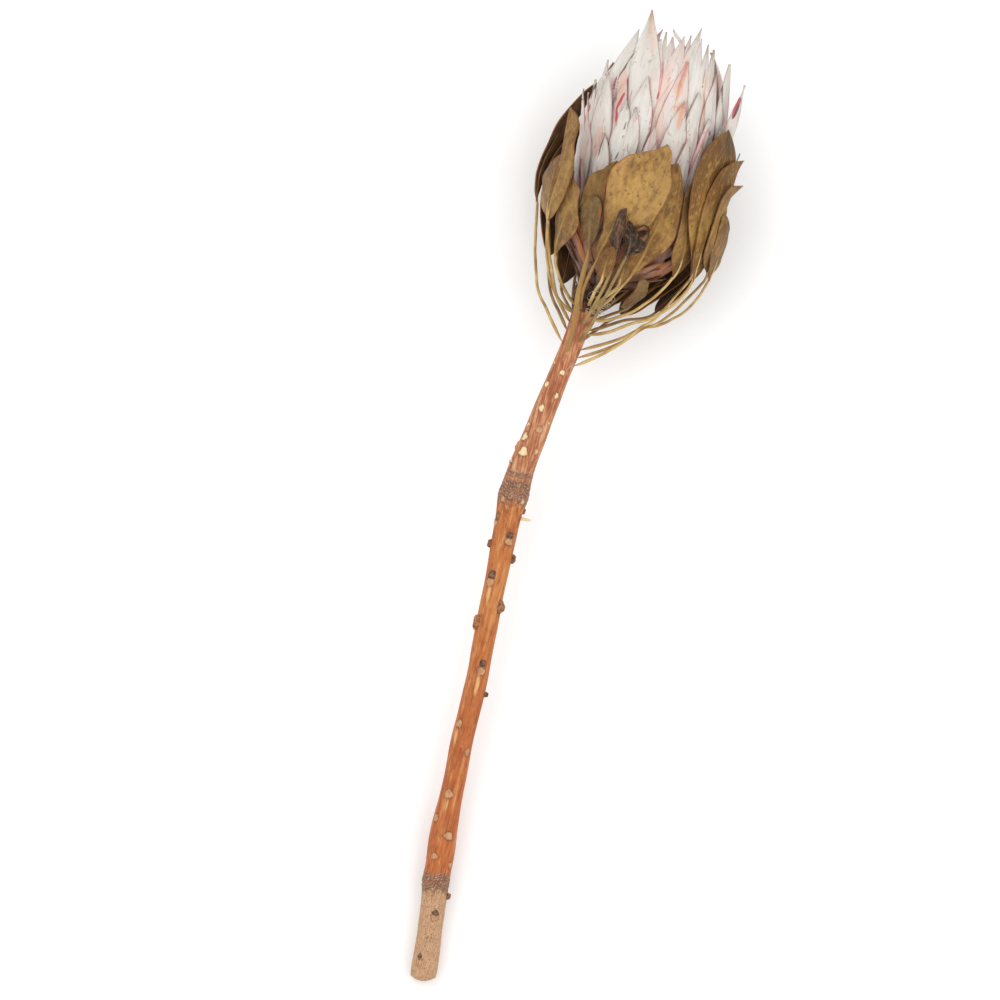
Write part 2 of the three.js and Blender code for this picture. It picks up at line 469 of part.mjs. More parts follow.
function headSolid() {
  const profile = [[22.6, 0], [22.6, 21]];
  for (const along of [32, 45, 60, CORE_TOP]) {
    profile.push([along, curve(HEAD_RADIUS, along) - 5.5]);
  }
  profile.push([CORE_TOP, 0]);
  const pieces = [turnedSolid(profile, 20)];
  for (const [x0, y0, x1, y1, width, out, half] of BRACTS) {
    const [foot, footSide] = headPlace(x0, y0);
    const [tip, tipSide] = headPlace(x1, y1);
    const angle = (t, radius) => angleFor(footSide + (tipSide - footSide) * t, radius, half);
    pieces.push(bractSolid(foot, tip, angle, width, out, 5));
  }
  // The sides and the under side: one bract every golden angle, each higher than the last.
  const count = 40;
  for (let i = 0; i < count; i++) {
    const degrees = (20 + 137.508 * i + 4 * (random() - 0.5)) % 360;
    const sideways = Math.pow(Math.abs(Math.cos((degrees * Math.PI) / 180)), 3);
    const tip = 64 + (80 - 10 * sideways) * Math.pow(i / count, 0.9) + 4 * (random() - 0.5);
    const width = 11.5 + 3 * random();
    if (degrees > 25 && degrees < 160) continue;
    const length = 32 + 0.42 * (tip - 64);
    pieces.push(bractSolid(tip - length, tip, () => degrees, width, -7 * sideways, 4));
  }
  return wasm.Manifold.union(pieces);
}

function scaleSolid(foot, tip, degrees, width) {
  return blade(2, 2, (s, t, face) => {
    const along = foot + (tip - foot) * t;
    const radius = curve(HEAD_RADIUS, along) - 2 * (1 - t) + 1.6 * Math.min(1, 2.5 * t);
    const half = Math.max((width / 2) * Math.sqrt(1 - t), 0.6);
    const turn = ((s * half) / radius) * (180 / Math.PI);
    return at(along, degrees - turn, radius + face * 0.4);
  });
}

function scalesSolid() {
  const profile = [[0.4, 0]];
  for (const along of [0.4, 5, 10, 17, 22]) {
    profile.push([along, curve(HEAD_RADIUS, along) - 0.3]);
  }
  profile.push([22.2, 0]);
  const pieces = [turnedSolid(profile, 18)];
  for (let i = 0; i < 18; i++) {
    const row = i / 17;
    const degrees = 137.508 * i + 50;
    const tip = 9 + 38 * row;
    pieces.push(scaleSolid(tip - 6 - 20 * row, tip, degrees, 5 + 9 * row));
  }
  return wasm.Manifold.union(pieces);
}

function floretsSolid() {
  const dome = [[85.4, 0], [85.4, 22], [92, 25], [102, 24], [111, 19.5], [117, 13], [120, 6], [121, 0]];
  const pieces = [turnedSolid(dome, 14)];
  for (let i = 1; i < 46; i++) {
    const share = Math.sqrt(i / 46);
    const radius = 23 * share;
    const along = 120.5 - 22 * share * share;
    const tuft = new THREE.ConeGeometry(1.6, 8, 4);
    tuft.translate(0, 2, 0);
    pieces.push(
      solid(
        mapped(tuft, (x, y, z) => {
          const degrees = 137.508 * i;
          const turn = ((x / radius) * 180) / Math.PI;
          return at(along + y, degrees - turn, radius + z - 0.06 * y * share);
        }),
      ),
    );
  }
  return wasm.Manifold.union(pieces);
}

function stemSolid() {
  const stations = STEM_WIDTH.map(([y]) => y);
  const steps = stations.length - 1;
  const rod = new THREE.CylinderGeometry(1, 1, 1, 12, steps, false);
  rod.translate(0, 0.5, 0);
  const pieces = [
    solid(
      mapped(rod, (x, y, z) => {
        const station = stations[Math.round(y * steps)];
        const radius = (Math.hypot(x, z) * curve(STEM_WIDTH, station)) / 2;
        const point = at(station - HEAD_START, (Math.atan2(z, x) * 180) / Math.PI, radius);
        return pressed(point, 0);
      }),
    ),
  ];
  for (const [x, y, length, width, height, half] of SCARS) {
    const [along, side] = headPlace(x, y);
    const radius = curve(STEM_WIDTH, HEAD_START + along) / 2;
    const degrees = angleFor(side, radius, half);
    const lump = height < 1.3 ? new THREE.OctahedronGeometry(1, 0) : new THREE.IcosahedronGeometry(1, 0);
    pieces.push(
      solid(
        mapped(lump, (u, v, w) => {
          const turn = ((u * width) / 2 / radius) * (180 / Math.PI);
          return at(along + (v * length) / 2, degrees - turn, radius - 0.25 + w * height);
        }),
      ),
    );
  }
  // A thorn left of a side twig, at the swollen ring.
  const thorn = new THREE.CylinderGeometry(0.6, 1.1, 8, 6);
  thorn.rotateZ(-Math.PI / 2);
  thorn.translate(-5.8 - PLAN_MIDDLE[0], 235.8 - PLAN_MIDDLE[1], CUT_HEIGHT + RISE * 235.8);
  pieces.push(solid(thorn));
  return wasm.Manifold.union(pieces);
}

function meshOf(name, body, colour, roughness) {
  // Hollows shut in between overlapping bracts are filled: only the outer skin is kept.
  const skins = body.decompose().sort((a, b) => b.volume() - a.volume());
  const source = skins[0].getMesh();
  const geometry = new THREE.BufferGeometry();
  geometry.setAttribute("position", new THREE.BufferAttribute(source.vertProperties, 3));
  geometry.setIndex(new THREE.BufferAttribute(source.triVerts, 1));
  geometry.computeVertexNormals();
  const material = new THREE.MeshStandardMaterial({ color: colour, roughness, metalness: 0 });
  const mesh = new THREE.Mesh(geometry, material);
  mesh.name = name;
  return mesh;
}

const flower = new THREE.Group();
flower.add(meshOf("stem", stemSolid(), 0xb5713f, 0.7));
flower.add(meshOf("base_scales", scalesSolid(), 0x6e4a38, 0.85));
flower.add(meshOf("bracts", headSolid(), 0xd9cfc6, 0.85));
flower.add(meshOf("florets", floretsSolid(), 0xc9a58c, 0.9));
LEAVES.forEach((leaf, i) => {
  const name = `leaf_${String(i + 1).padStart(2, "0")}`;
  const burnt = i === 7 || i === 8;
  const colour = burnt ? BURNT_LEAF : i === 4 || i > 15 ? DARK_LEAF : LEAF_COLOUR;
  flower.add(meshOf(name, leafSolid(leaf), colour, 0.6));
});

export default flower;
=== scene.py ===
import math
import random

import bpy
import numpy as np
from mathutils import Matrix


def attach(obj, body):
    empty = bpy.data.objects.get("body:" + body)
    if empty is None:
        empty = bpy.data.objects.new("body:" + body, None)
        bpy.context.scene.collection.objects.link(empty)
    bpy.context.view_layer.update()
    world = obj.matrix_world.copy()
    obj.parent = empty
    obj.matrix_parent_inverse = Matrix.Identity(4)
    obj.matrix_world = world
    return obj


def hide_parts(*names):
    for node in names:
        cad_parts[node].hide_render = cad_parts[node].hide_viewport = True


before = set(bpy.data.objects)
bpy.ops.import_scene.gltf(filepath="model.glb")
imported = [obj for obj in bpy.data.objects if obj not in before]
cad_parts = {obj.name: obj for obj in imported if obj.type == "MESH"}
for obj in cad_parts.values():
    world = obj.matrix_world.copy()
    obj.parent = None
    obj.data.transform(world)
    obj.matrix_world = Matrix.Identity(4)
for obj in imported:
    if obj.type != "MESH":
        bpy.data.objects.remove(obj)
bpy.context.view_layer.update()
bpy.ops.object.select_all(action="DESELECT")

# The studio: a pale floor that the flower lies on, a broad soft light from the upper left and a
# weaker one from the right, and a camera straight above, turned so that the stem leans in the
# picture. A very long lens keeps near and far parts at one scale. Lengths in metres.
FRAME_WIDTH = 0.5
FLOWER_MIDDLE = 0.045
LENS = 1000
SENSOR = 36
CAMERA_TURN = math.radians(13.5)
VIEW_CENTRE = (-0.0305, -0.0063)
SKY_STRENGTH = 0.95
FLOOR_SIZE = 8
FLOOR_DROP = 0.0002
SOFT_LIGHTS = [
    {"place": (-0.8, 0.6, 1.6), "width": 1.4, "power": 9},
    {"place": (0.9, 0.1, 1.5), "width": 1.6, "power": 7},
]

bpy.ops.object.camera_add(
    location=(*VIEW_CENTRE, FLOWER_MIDDLE + FRAME_WIDTH * LENS / SENSOR),
    rotation=(0, 0, CAMERA_TURN),
)
camera = bpy.context.object
camera.data.lens = LENS
camera.data.sensor_width = SENSOR
bpy.context.scene.camera = camera

for light in SOFT_LIGHTS:
    away = math.hypot(light["place"][0], light["place"][1])
    tilt = math.atan2(away, light["place"][2])
    turn = math.atan2(light["place"][1], light["place"][0]) + math.pi / 2
    bpy.ops.object.light_add(type="AREA", location=light["place"], rotation=(tilt, 0, turn))
    lamp = bpy.context.object
    lamp.data.size = light["width"]
    lamp.data.energy = light["power"]

bpy.context.scene.view_settings.view_transform = "Standard"
world = bpy.data.worlds.new("studio")
world.use_nodes = True
world.node_tree.nodes["Background"].inputs["Color"].default_value = (1, 1, 1, 1)
world.node_tree.nodes["Background"].inputs["Strength"].default_value = SKY_STRENGTH
bpy.context.scene.world = world

bpy.ops.mesh.primitive_plane_add(size=FLOOR_SIZE, location=(0, 0, -FLOOR_DROP))
floor = bpy.context.object
floor.name = "floor"
floor_paint = bpy.data.materials.new("floor_paint")
floor_paint.use_nodes = True
floor_surface = floor_paint.node_tree.nodes["Principled BSDF"]
floor_surface.inputs["Base Color"].default_value = (0.97, 0.97, 0.97, 1)
floor_surface.inputs["Roughness"].default_value = 0.9
floor.data.materials.append(floor_paint)

# The stem: 35 cm of woody shoot, cut at its lower end, a little bent, with wrinkled rings where
# growth paused and one near the cut. Pale oval scars show where leaves sat, with dark bud stumps
# above some of them. Lengths from here on are millimetres, made metres as a mesh is filled.
MM = 0.001
HEAD_START = 350
PLAN_MIDDLE = (11.3, 249)
CUT_HEIGHT = 6.4
RISE = 0.0925
# The flower's middle line in plan: place along, place across.
AXIS = [
    (0, -0.9), (10, -1.7), (20, -2.5), (30, -3.6), (40, -4.7), (50, -6), (60, -6.6), (80, -8.1),
    (100, -8.6), (120, -9.5), (150, -9.4), (170, -10.4), (200, -11.8), (230, -13), (246, -13.2),
    (260, -12.6), (280, -9.6), (300, -6.8), (320, -3.5), (340, -0.4), (350, 0.8), (360, 2.9),
    (370, 5.2), (380, 7.3), (390, 9.1), (400, 10.5), (415, 11.8), (430, 12.5), (450, 12.7),
    (500, 12.7),
]
# The stem's width, by place along.
STEM_WIDTH = [
    (0, 12.8), (4, 13.4), (12, 13.2), (24, 12.6), (36, 12.8), (44, 13.2), (50, 14), (56, 13.6),
    (68, 14.2), (80, 13.2), (92, 11.7), (104, 11.4), (118, 11.4), (132, 11.2), (146, 11.3),
    (160, 11), (172, 11.2), (184, 11.4), (198, 11), (210, 11.5), (222, 12.2), (234, 12.8),
    (240, 14), (246, 15.6), (252, 14.6), (260, 13.6), (272, 12.8), (284, 12), (296, 11.6),
    (308, 10.8), (320, 10.8), (332, 11), (342, 12.4), (350, 14),
]
# Wrinkled rings: middle and half width.
RINGS = [(48.2, 4.6), (248.5, 5.6), (257.4, 1.2)]
# Leaf scars: place across and along, length, width, height; then how pale (1 cream, 0.4 tan).
SCARS = [
    (-4.5, 8, 3.4, 3, 0.5, 0.4), (-2.2, 31.7, 3.6, 3.6, 0.5, 0.4), (-7.5, 43, 3, 3.6, 0.6, 0.5),
    (-9.5, 61.5, 3, 3.6, 0.5, 0.4), (-0.8, 58.7, 3.4, 3, 0.5, 0.4), (-5, 73, 3.8, 4.6, 0.6, 0.45),
    (-13.2, 80.5, 4, 3, 0.6, 0.4), (-9.8, 93.5, 4.4, 4.2, 0.6, 0.45), (-5.6, 116, 4.2, 3, 0.6, 0.4),
    (-13, 129, 4, 3.6, 0.6, 0.5), (-8.5, 157, 4, 4, 0.5, 0.5), (-14.5, 201.5, 4, 3.6, 0.5, 0.5),
    (-10, 223.5, 4, 3.8, 0.5, 0.5), (-18.7, 231.5, 4, 3, 0.5, 0.5), (-7.8, 244.5, 3, 2.4, 0.5, 0.7),
    (-18, 243.5, 3, 2.4, 0.5, 0.6), (-15, 240, 2.4, 2, 0.4, 0.6), (-13.5, 269, 5, 4, 0.6, 1),
    (-14.5, 276.5, 4.6, 3, 0.6, 1), (-17.6, 271.5, 3, 2.4, 0.7, 0.9), (-18.3, 263.3, 2.6, 2.4, 0.7, 0.9),
    (-7, 270.5, 2.6, 2.4, 0.4, 0.7), (-8.2, 281.5, 3, 3, 0.5, 0.6), (-14.2, 283, 2.4, 1.4, 0.4, 0.9),
    (-9.7, 292.3, 3.4, 3, 0.5, 1), (-3.9, 300, 3, 2.2, 0.5, 1), (-10, 304.5, 3.2, 2.5, 0.5, 0.9),
    (-3.8, 312, 2.8, 2.6, 0.5, 1), (-8.8, 316, 2, 1.2, 0.3, 0.9), (-4.2, 286, 2.4, 1.2, 0.3, 0.9),
]
# The ones guessed on the under side: place across and along; all of one size.
UNDER_SCARS = [
    (-6, 66), (-11, 104), (-8, 138), (-12, 176), (-15, 262), (-6, 286), (-8, 306), (-3, 22),
]
UNDER_SCAR = (4, 4, 0.6, 0.5)
# A scar's mark is this many times the size of its pale part; its raised rim lies this far in,
# where 0 is the mark's edge and 1 its middle.
SCAR_SPREAD = 1.25
SCAR_RIM = 0.22
# Bud stumps: place across and along, length, width, height; how orange, 0 (nearly black) to 1.
BUDS = [
    (-5, 10.8, 3.2, 2.2, 0.9, 0.1), (-2.3, 34, 2.8, 3.6, 1, 0.1), (1.4, 43.4, 3, 2.4, 2.2, 0.4),
    (-3.8, 146.3, 2.6, 2, 2.2, 0.2), (-8.4, 161.2, 3.8, 3.2, 1.2, 0), (-15.7, 180.6, 7, 3.4, 3, 0.8),
    (-6.6, 190.5, 6.4, 4, 2.4, 0.55), (-14.4, 205.6, 4.4, 4, 1.3, 0.1), (-18.6, 220.5, 4, 2.4, 2.2, 0.2),
    (-6.3, 215.4, 4.4, 2.4, 2.4, 0.2), (-10.2, 226.6, 3.8, 3.6, 1.2, 0.1), (-18.4, 234.6, 4.4, 3, 1.2, 0.4),
    (-5.8, 240, 3, 2, 1.2, 0.3),
]
# Pale streaks: place across and along, half length and half width.
STREAKS = [(-8.7, 150, 7, 1.2), (-14, 196, 6, 1.1), (-13.2, 122, 5, 1), (-10, 88, 4, 1)]
# A short pale side twig at the upper ring: place across and along, length.
THORN = (-11, 235.8, 9.4)
# The stem's mesh: vertices round it, rows along it, and the share of the rows on the cut face.
STEM_ROUND = 72
STEM_ROWS = 500
CAP_SHARE = 0.02
random.seed(41)


def hermite(p, dp, q, dq, t):
    """Between p and q, leaving p with slope dp and reaching q with slope dq."""
    share = 3 * t**2 - 2 * t**3
    return (1 - share) * p + share * q + (t**3 - 2 * t**2 + t) * dp + (t**3 - t**2) * dq


def curve(points, x):
    """A smooth line through (x, y) points, flat beyond its ends."""
    xs, ys = np.array(points, float).T
    low = np.maximum(np.arange(len(xs)) - 1, 0)
    high = np.minimum(np.arange(len(xs)) + 1, len(xs) - 1)
    slopes = (ys[high] - ys[low]) / (xs[high] - xs[low])
    x = np.clip(x, xs[0], xs[-1])
    i = np.clip(np.searchsorted(xs, x, side="right") - 1, 0, len(xs) - 2)
    step = xs[i + 1] - xs[i]
    return hermite(ys[i], step * slopes[i], ys[i + 1], step * slopes[i + 1], (x - xs[i]) / step)


def lean(y):
    """How far the middle line turns to the right there, in radians."""
    return np.arctan((curve(AXIS, y + 1) - curve(AXIS, y - 1)) / 2)


def in_plan(x, y, z):
    """Points from their places in plan and their heights."""
    return np.stack(np.broadcast_arrays(x - PLAN_MIDDLE[0], y - PLAN_MIDDLE[1], z), axis=-1)


def at(along, degrees, radius):
    """A place round the flower's middle line: distance above HEAD_START, angle, radius."""
    y = HEAD_START + np.asarray(along, float)
    side = radius * np.cos(np.radians(degrees))
    up = radius * np.sin(np.radians(degrees))
    x = curve(AXIS, y) + side * np.cos(lean(y))
    return in_plan(x, y - side * np.sin(lean(y)), CUT_HEIGHT + RISE * y + up)


def head_place(x, y):
    """The reverse, for a place in plan: how far along the head it is and how far to the side."""
    low, high = y - 40.0, y + 40.0
    for _ in range(40):
        s = (low + high) / 2
        ahead = (y - s) * math.cos(lean(s)) + (x - curve(AXIS, s)) * math.sin(lean(s))
        if ahead > 0:
            low = s
        else:
            high = s
    side = (x - curve(AXIS, low)) * math.cos(lean(low)) - (y - low) * math.sin(lean(low))
    return low - HEAD_START, float(side)


def angle_for(side, radius):
    """The angle on the upper half at which a place lies that far to the side."""
    return np.degrees(np.arccos(np.clip(side / radius, -1, 1)))


def on_stem(x, y):
    """For a place in plan: how far along the stem it is, its angle, and the stem's radius there."""
    along, side = head_place(x, y)
    radius = float(curve(STEM_WIDTH, HEAD_START + along)) / 2
    return along, float(angle_for(side, radius)), radius


def tapered(t, first, last):
    """1 along a body, and almost 0 at its ends, over the first and last shares of its length."""
    return np.clip(np.minimum(t / first, (1 - t) / last), 1e-4, 1)


def painted(mesh, name, values):
    """Writes four numbers on every vertex, those left out as 1, for the material to read."""
    layer = mesh.color_attributes.new(name, "FLOAT_COLOR", "POINT")
    ones = np.ones(len(mesh.vertices))
    numbers = np.stack(np.broadcast_arrays(*values, ones, ones)[:4], axis=-1)
    layer.data.foreach_set("color", numbers.astype(np.float32).ravel())
    mesh.update()


def evenly(*numbers):
    """The same painted numbers all over a piece."""
    return lambda s, t: numbers


def sheet_of(name, across, lengths, place, marks, stains=None):
    """A grid primitive whose vertices go where place(across -1 to 1, along 0 to 1) says."""
    bpy.ops.mesh.primitive_grid_add(x_subdivisions=across, y_subdivisions=lengths, size=2)
    piece = bpy.context.object
    piece.name = name
    mesh = piece.data
    flat = np.empty(len(mesh.vertices) * 3)
    mesh.vertices.foreach_get("co", flat)
    flat = flat.reshape(-1, 3)
    s = flat[:, 0]
    t = (flat[:, 1] + 1) / 2
    mesh.vertices.foreach_set("co", (place(s, t) * MM).ravel())
    painted(mesh, "marks", marks(s, t))
    if stains:
        painted(mesh, "stains", stains(s, t))
    return piece


def picked(*pieces):
    """Selects these alone, with the first as the active one."""
    bpy.ops.object.select_all(action="DESELECT")
    for piece in pieces:
        piece.select_set(True)
    bpy.context.view_layer.objects.active = pieces[0]


def closed(piece, gap=0.02):
    """Joins the seam and the ends of a sheet that was rolled into a closed body."""
    picked(piece)
    bpy.ops.object.mode_set(mode="EDIT")
    bpy.ops.mesh.select_all(action="SELECT")
    bpy.ops.mesh.remove_doubles(threshold=gap * MM)
    bpy.ops.mesh.normals_make_consistent(inside=False)
    bpy.ops.object.mode_set(mode="OBJECT")
    bpy.ops.object.shade_smooth()
    return piece


def joined(name, pieces):
    """One object from several, with the first one's place."""
    picked(*pieces)
    bpy.ops.object.join()
    pieces[0].name = name
    pieces[0].data.name = name
    return pieces[0]


def paint(code):
    """A colour from its six-letter code, as the shader wants it."""
    parts = [int(code[i : i + 2], 16) / 255 for i in (0, 2, 4)]
    return (*[p / 12.92 if p < 0.04045 else ((p + 0.055) / 1.055) ** 2.4 for p in parts], 1)


class Shade:
    """A number in a material that varies over the surface; +, - and * on it add Math nodes."""

    def __init__(self, finish, socket):
        self.finish = finish
        self.socket = socket

    def math(self, operation, first, second=0.0):
        return self.finish.node("Math", {"operation": operation}, {0: first, 1: second})

    def __add__(self, other):
        return self.math("ADD", self, other)

    def __mul__(self, other):
        return self.math("MULTIPLY", self, other)

    def __sub__(self, other):
        return self.math("SUBTRACT", self, other)

    def __rsub__(self, other):
        return self.math("SUBTRACT", other, self)

    def __abs__(self):
        return self.math("ABSOLUTE", self)

    __radd__ = __add__
    __rmul__ = __mul__

    def wrapped(self):
        return self.math("FRACT", self)

    def ramp(self, low, high):
        """0 below low, 1 above high, smooth between; low above high turns it round."""
        return self.finish.node(
            "MapRange",
            {"interpolation_type": "SMOOTHSTEP"},
            {"Value": self, "From Min": low, "From Max": high},
        )


class Finish:
    """A material, whose surface's plain values are given by name."""

    def __init__(self, name, **surface):
        self.material = bpy.data.materials.new(name)
        self.material.use_nodes = True
        self.tree = self.material.node_tree
        self.surface = self.tree.nodes["Principled BSDF"]
        self.feed(self.surface, {key.replace("_", " "): value for key, value in surface.items()})

    def feed(self, node, sockets):
        for name, value in sockets.items():
            if isinstance(value, Shade):
                self.tree.links.new(value.socket, node.inputs[name])
            else:
                node.inputs[name].default_value = value

    def node(self, kind, settings, sockets, output=0):
        """A node of any type: its settings first, then its sockets' values or links."""
        node = self.tree.nodes.new("ShaderNode" + kind)
        for name, value in settings.items():
            setattr(node, name, value)
        self.feed(node, sockets)
        return Shade(self, node.outputs[output])

    def coats(self, colour, *coats):
        """Lays coats over a colour, each a share from 0 to 1 and a colour or its code."""
        for share, coat in coats:
            under, over = [paint(c) if isinstance(c, str) else c for c in (colour, coat)]
            colour = self.node("Mix", {"data_type": "RGBA"}, {0: share, 6: under, 7: over}, 2)
        return colour

    def place(self, *scale):
        """Where a point is in the flower, in metres, stretched by scale."""
        here = self.node("TexCoord", {}, {}, 3)
        return self.node("Mapping", {}, {"Vector": here, "Scale": scale})

    def sheet(self, *scale):
        """Where a point is on its own sheet: across and along, 0 to 1, stretched by scale."""
        here = self.node("UVMap", {"uv_map": "UVMap"}, {})
        return self.node("Mapping", {}, {"Vector": here, "Scale": scale or (1, 1, 1)})

    def split(self, vector):
        """The three numbers of a vector."""
        return [self.node("SeparateXYZ", {}, {0: vector}, i) for i in range(3)]

    def marks(self, name="marks"):
        """The four numbers painted on the vertices."""
        colour = self.node("Attribute", {"attribute_name": name}, {}, 0)
        return [*self.split(colour), self.node("Attribute", {"attribute_name": name}, {}, 3)]

    def noise(self, vector, detail=3, roughness=0.55):
        sockets = {"Vector": vector, "Scale": 1, "Detail": detail, "Roughness": roughness}
        return self.node("TexNoise", {}, sockets)

    def finish(self, colour, roughness, height, depth):
        """Colour, roughness and relief (height 0 to 1 is depth metres) reach the surface."""
        relief = self.node("Bump", {}, {"Height": height, "Distance": depth, "Strength": 1.0})
        self.feed(self.surface, {"Base Color": colour, "Roughness": roughness, "Normal": relief})
        return self.material


def nearness(along, degrees, mark):
    """How near stem points are to a mark: 1 in its middle, 0 at its uneven rim and beyond."""
    mark_along, mark_degrees, length, width = mark
    radius = curve(STEM_WIDTH, HEAD_START + mark_along) / 2
    turn = np.radians((degrees - mark_degrees + 180) % 360 - 180) * radius
    ahead = (along - mark_along) / (length / 2)
    aside = turn / (width / 2)
    spin = np.arctan2(ahead, aside)
    uneven = 1 + 0.12 * np.sin(3 * spin + mark_along) + 0.08 * np.sin(5 * spin + 2 * mark_along)
    return np.maximum(0, 1 - np.hypot(ahead, aside) * uneven)


def stem_marks():
    """Every scar, as its mark (place along, angle, length, width), its height and paleness."""
    scars = [(1, *scar) for scar in SCARS] + [(-1, *place, *UNDER_SCAR) for place in UNDER_SCARS]
    for half, x, y, length, width, height, pale in scars:
        along, degrees, _ = on_stem(x, y)
        yield (along, half * degrees, length * SCAR_SPREAD, width * SCAR_SPREAD), height, pale


stem_scars = list(stem_marks())


def stem_rows(t):
    """Distance along the stem and share of the radius, with the cut face as the first rows."""
    y = np.where(t < CAP_SHARE, 0, (t - CAP_SHARE) / (1 - CAP_SHARE) * HEAD_START)
    return y, np.clip(t / CAP_SHARE, 0, 1)


def stem_place(s, t):
    """Fibres, wrinkled rings and raised scars; the first rows close the slightly rounded cut."""
    y, share = stem_rows(t)
    degrees = (s + 1) * 180 + 90
    turn = np.radians(degrees)
    along = y - HEAD_START
    fibre = 0.07 * np.sin(turn * 9 + 0.03 * y) + 0.06 * np.sin(turn * 17 + 0.021 * y + 1.3)
    fibre = fibre + 0.05 * np.sin(turn * 5 + 0.05 * y) * np.sin(0.11 * y)
    radius = curve(STEM_WIDTH, y) / 2 - 0.15 + fibre + 0.1 * np.sin(0.19 * y) * np.sin(turn + 0.07 * y)
    for middle, half in RINGS:
        near = np.clip(1 - np.abs(y - middle) / half, 0, 1)
        phase = 2.4 * np.sin(turn * 2 + middle) + 1.6 * np.sin(turn * 5 + 0.9 * y)
        phase = phase + 1.3 * np.sin(turn * 3 - 1.7 * y) + 0.9 * np.sin(turn * 11 + 2.3 * y)
        wrinkle = np.sin(y * 3 + phase) * (0.6 + 0.4 * np.sin(turn * 7 + 2 * y))
        radius = radius + near**0.5 * 0.28 * wrinkle
    for mark, height, _ in stem_scars:
        near = nearness(along, degrees, mark)
        rise = np.where(near > SCAR_RIM, 0.75, near / SCAR_RIM)
        rim = np.exp(-(((near - SCAR_RIM) / 0.12) ** 2))
        radius = radius + np.where(near > 0, height * (0.6 * rise + 0.5 * rim), 0)
    place = at(along, degrees, radius * np.maximum(share, 1e-4))
    side = np.cos(turn) * radius * share
    place[:, 1] = place[:, 1] + (0.055 * (side + 1) ** 2 - 0.8) * np.clip(1 - y / 7, 0, 1)
    place[:, 2] = np.maximum(place[:, 2], 0.05)
    return place


def stem_masks(s, t):
    """The marks' numbers: pale scars, their dark rims, and pale streaks."""
    along = stem_rows(t)[0] - HEAD_START
    degrees = (s + 1) * 180 + 90
    pale = rims = streaks = np.zeros(len(s))
    for mark, _, paleness in stem_scars:
        near = nearness(along, degrees, mark)
        pale = np.maximum(pale, paleness * np.clip((near - 0.2) / 0.1, 0, 1))
        rims = np.maximum(rims, np.exp(-(((near - 0.1) / 0.12) ** 2)) * (near > 0))
    for x, y, half, width in STREAKS:
        mark = (*on_stem(x, y)[:2], half * 2, width * 2)
        streaks = np.maximum(streaks, np.clip(nearness(along, degrees, mark) * 2, 0, 1))
    return pale, rims * 0.8, streaks


def bud_lump(x, y, length, width, height, orange):
    """A blunt cracked stump: a ball pressed to its length and width, rough all over."""
    along, degrees, radius = on_stem(x, y)
    bpy.ops.mesh.primitive_ico_sphere_add(subdivisions=4, radius=1)
    bud = bpy.context.object
    flat = np.array([vertex.co for vertex in bud.data.vertices])
    rough = 1 + 0.14 * np.sin(flat[:, 0] * 4 + x) * np.sin(flat[:, 1] * 3.4 + y)
    rough = rough + 0.05 * np.sin(flat[:, 2] * 9) + 0.05 * np.sin(flat[:, 0] * 11 + flat[:, 1] * 8)
    turn = np.degrees(flat[:, 0] * rough * width / 2 / radius)
    middle = np.exp(-(flat[:, 0] ** 2 + flat[:, 1] ** 2) / 0.15) * (flat[:, 2] > 0)
    lift = np.sign(flat[:, 2]) * np.abs(flat[:, 2]) ** 0.6 * rough - 0.45 * middle
    ahead = along + flat[:, 1] * rough * length / 2
    places = at(ahead, degrees - turn, radius - 0.3 + lift * height)
    bud.data.vertices.foreach_set("co", (places * MM).ravel())
    foot = np.clip(-lift * 1.5 + 0.6, 0, 1)
    painted(bud.data, "marks", (orange, middle, foot))
    bpy.ops.object.shade_smooth()
    return bud


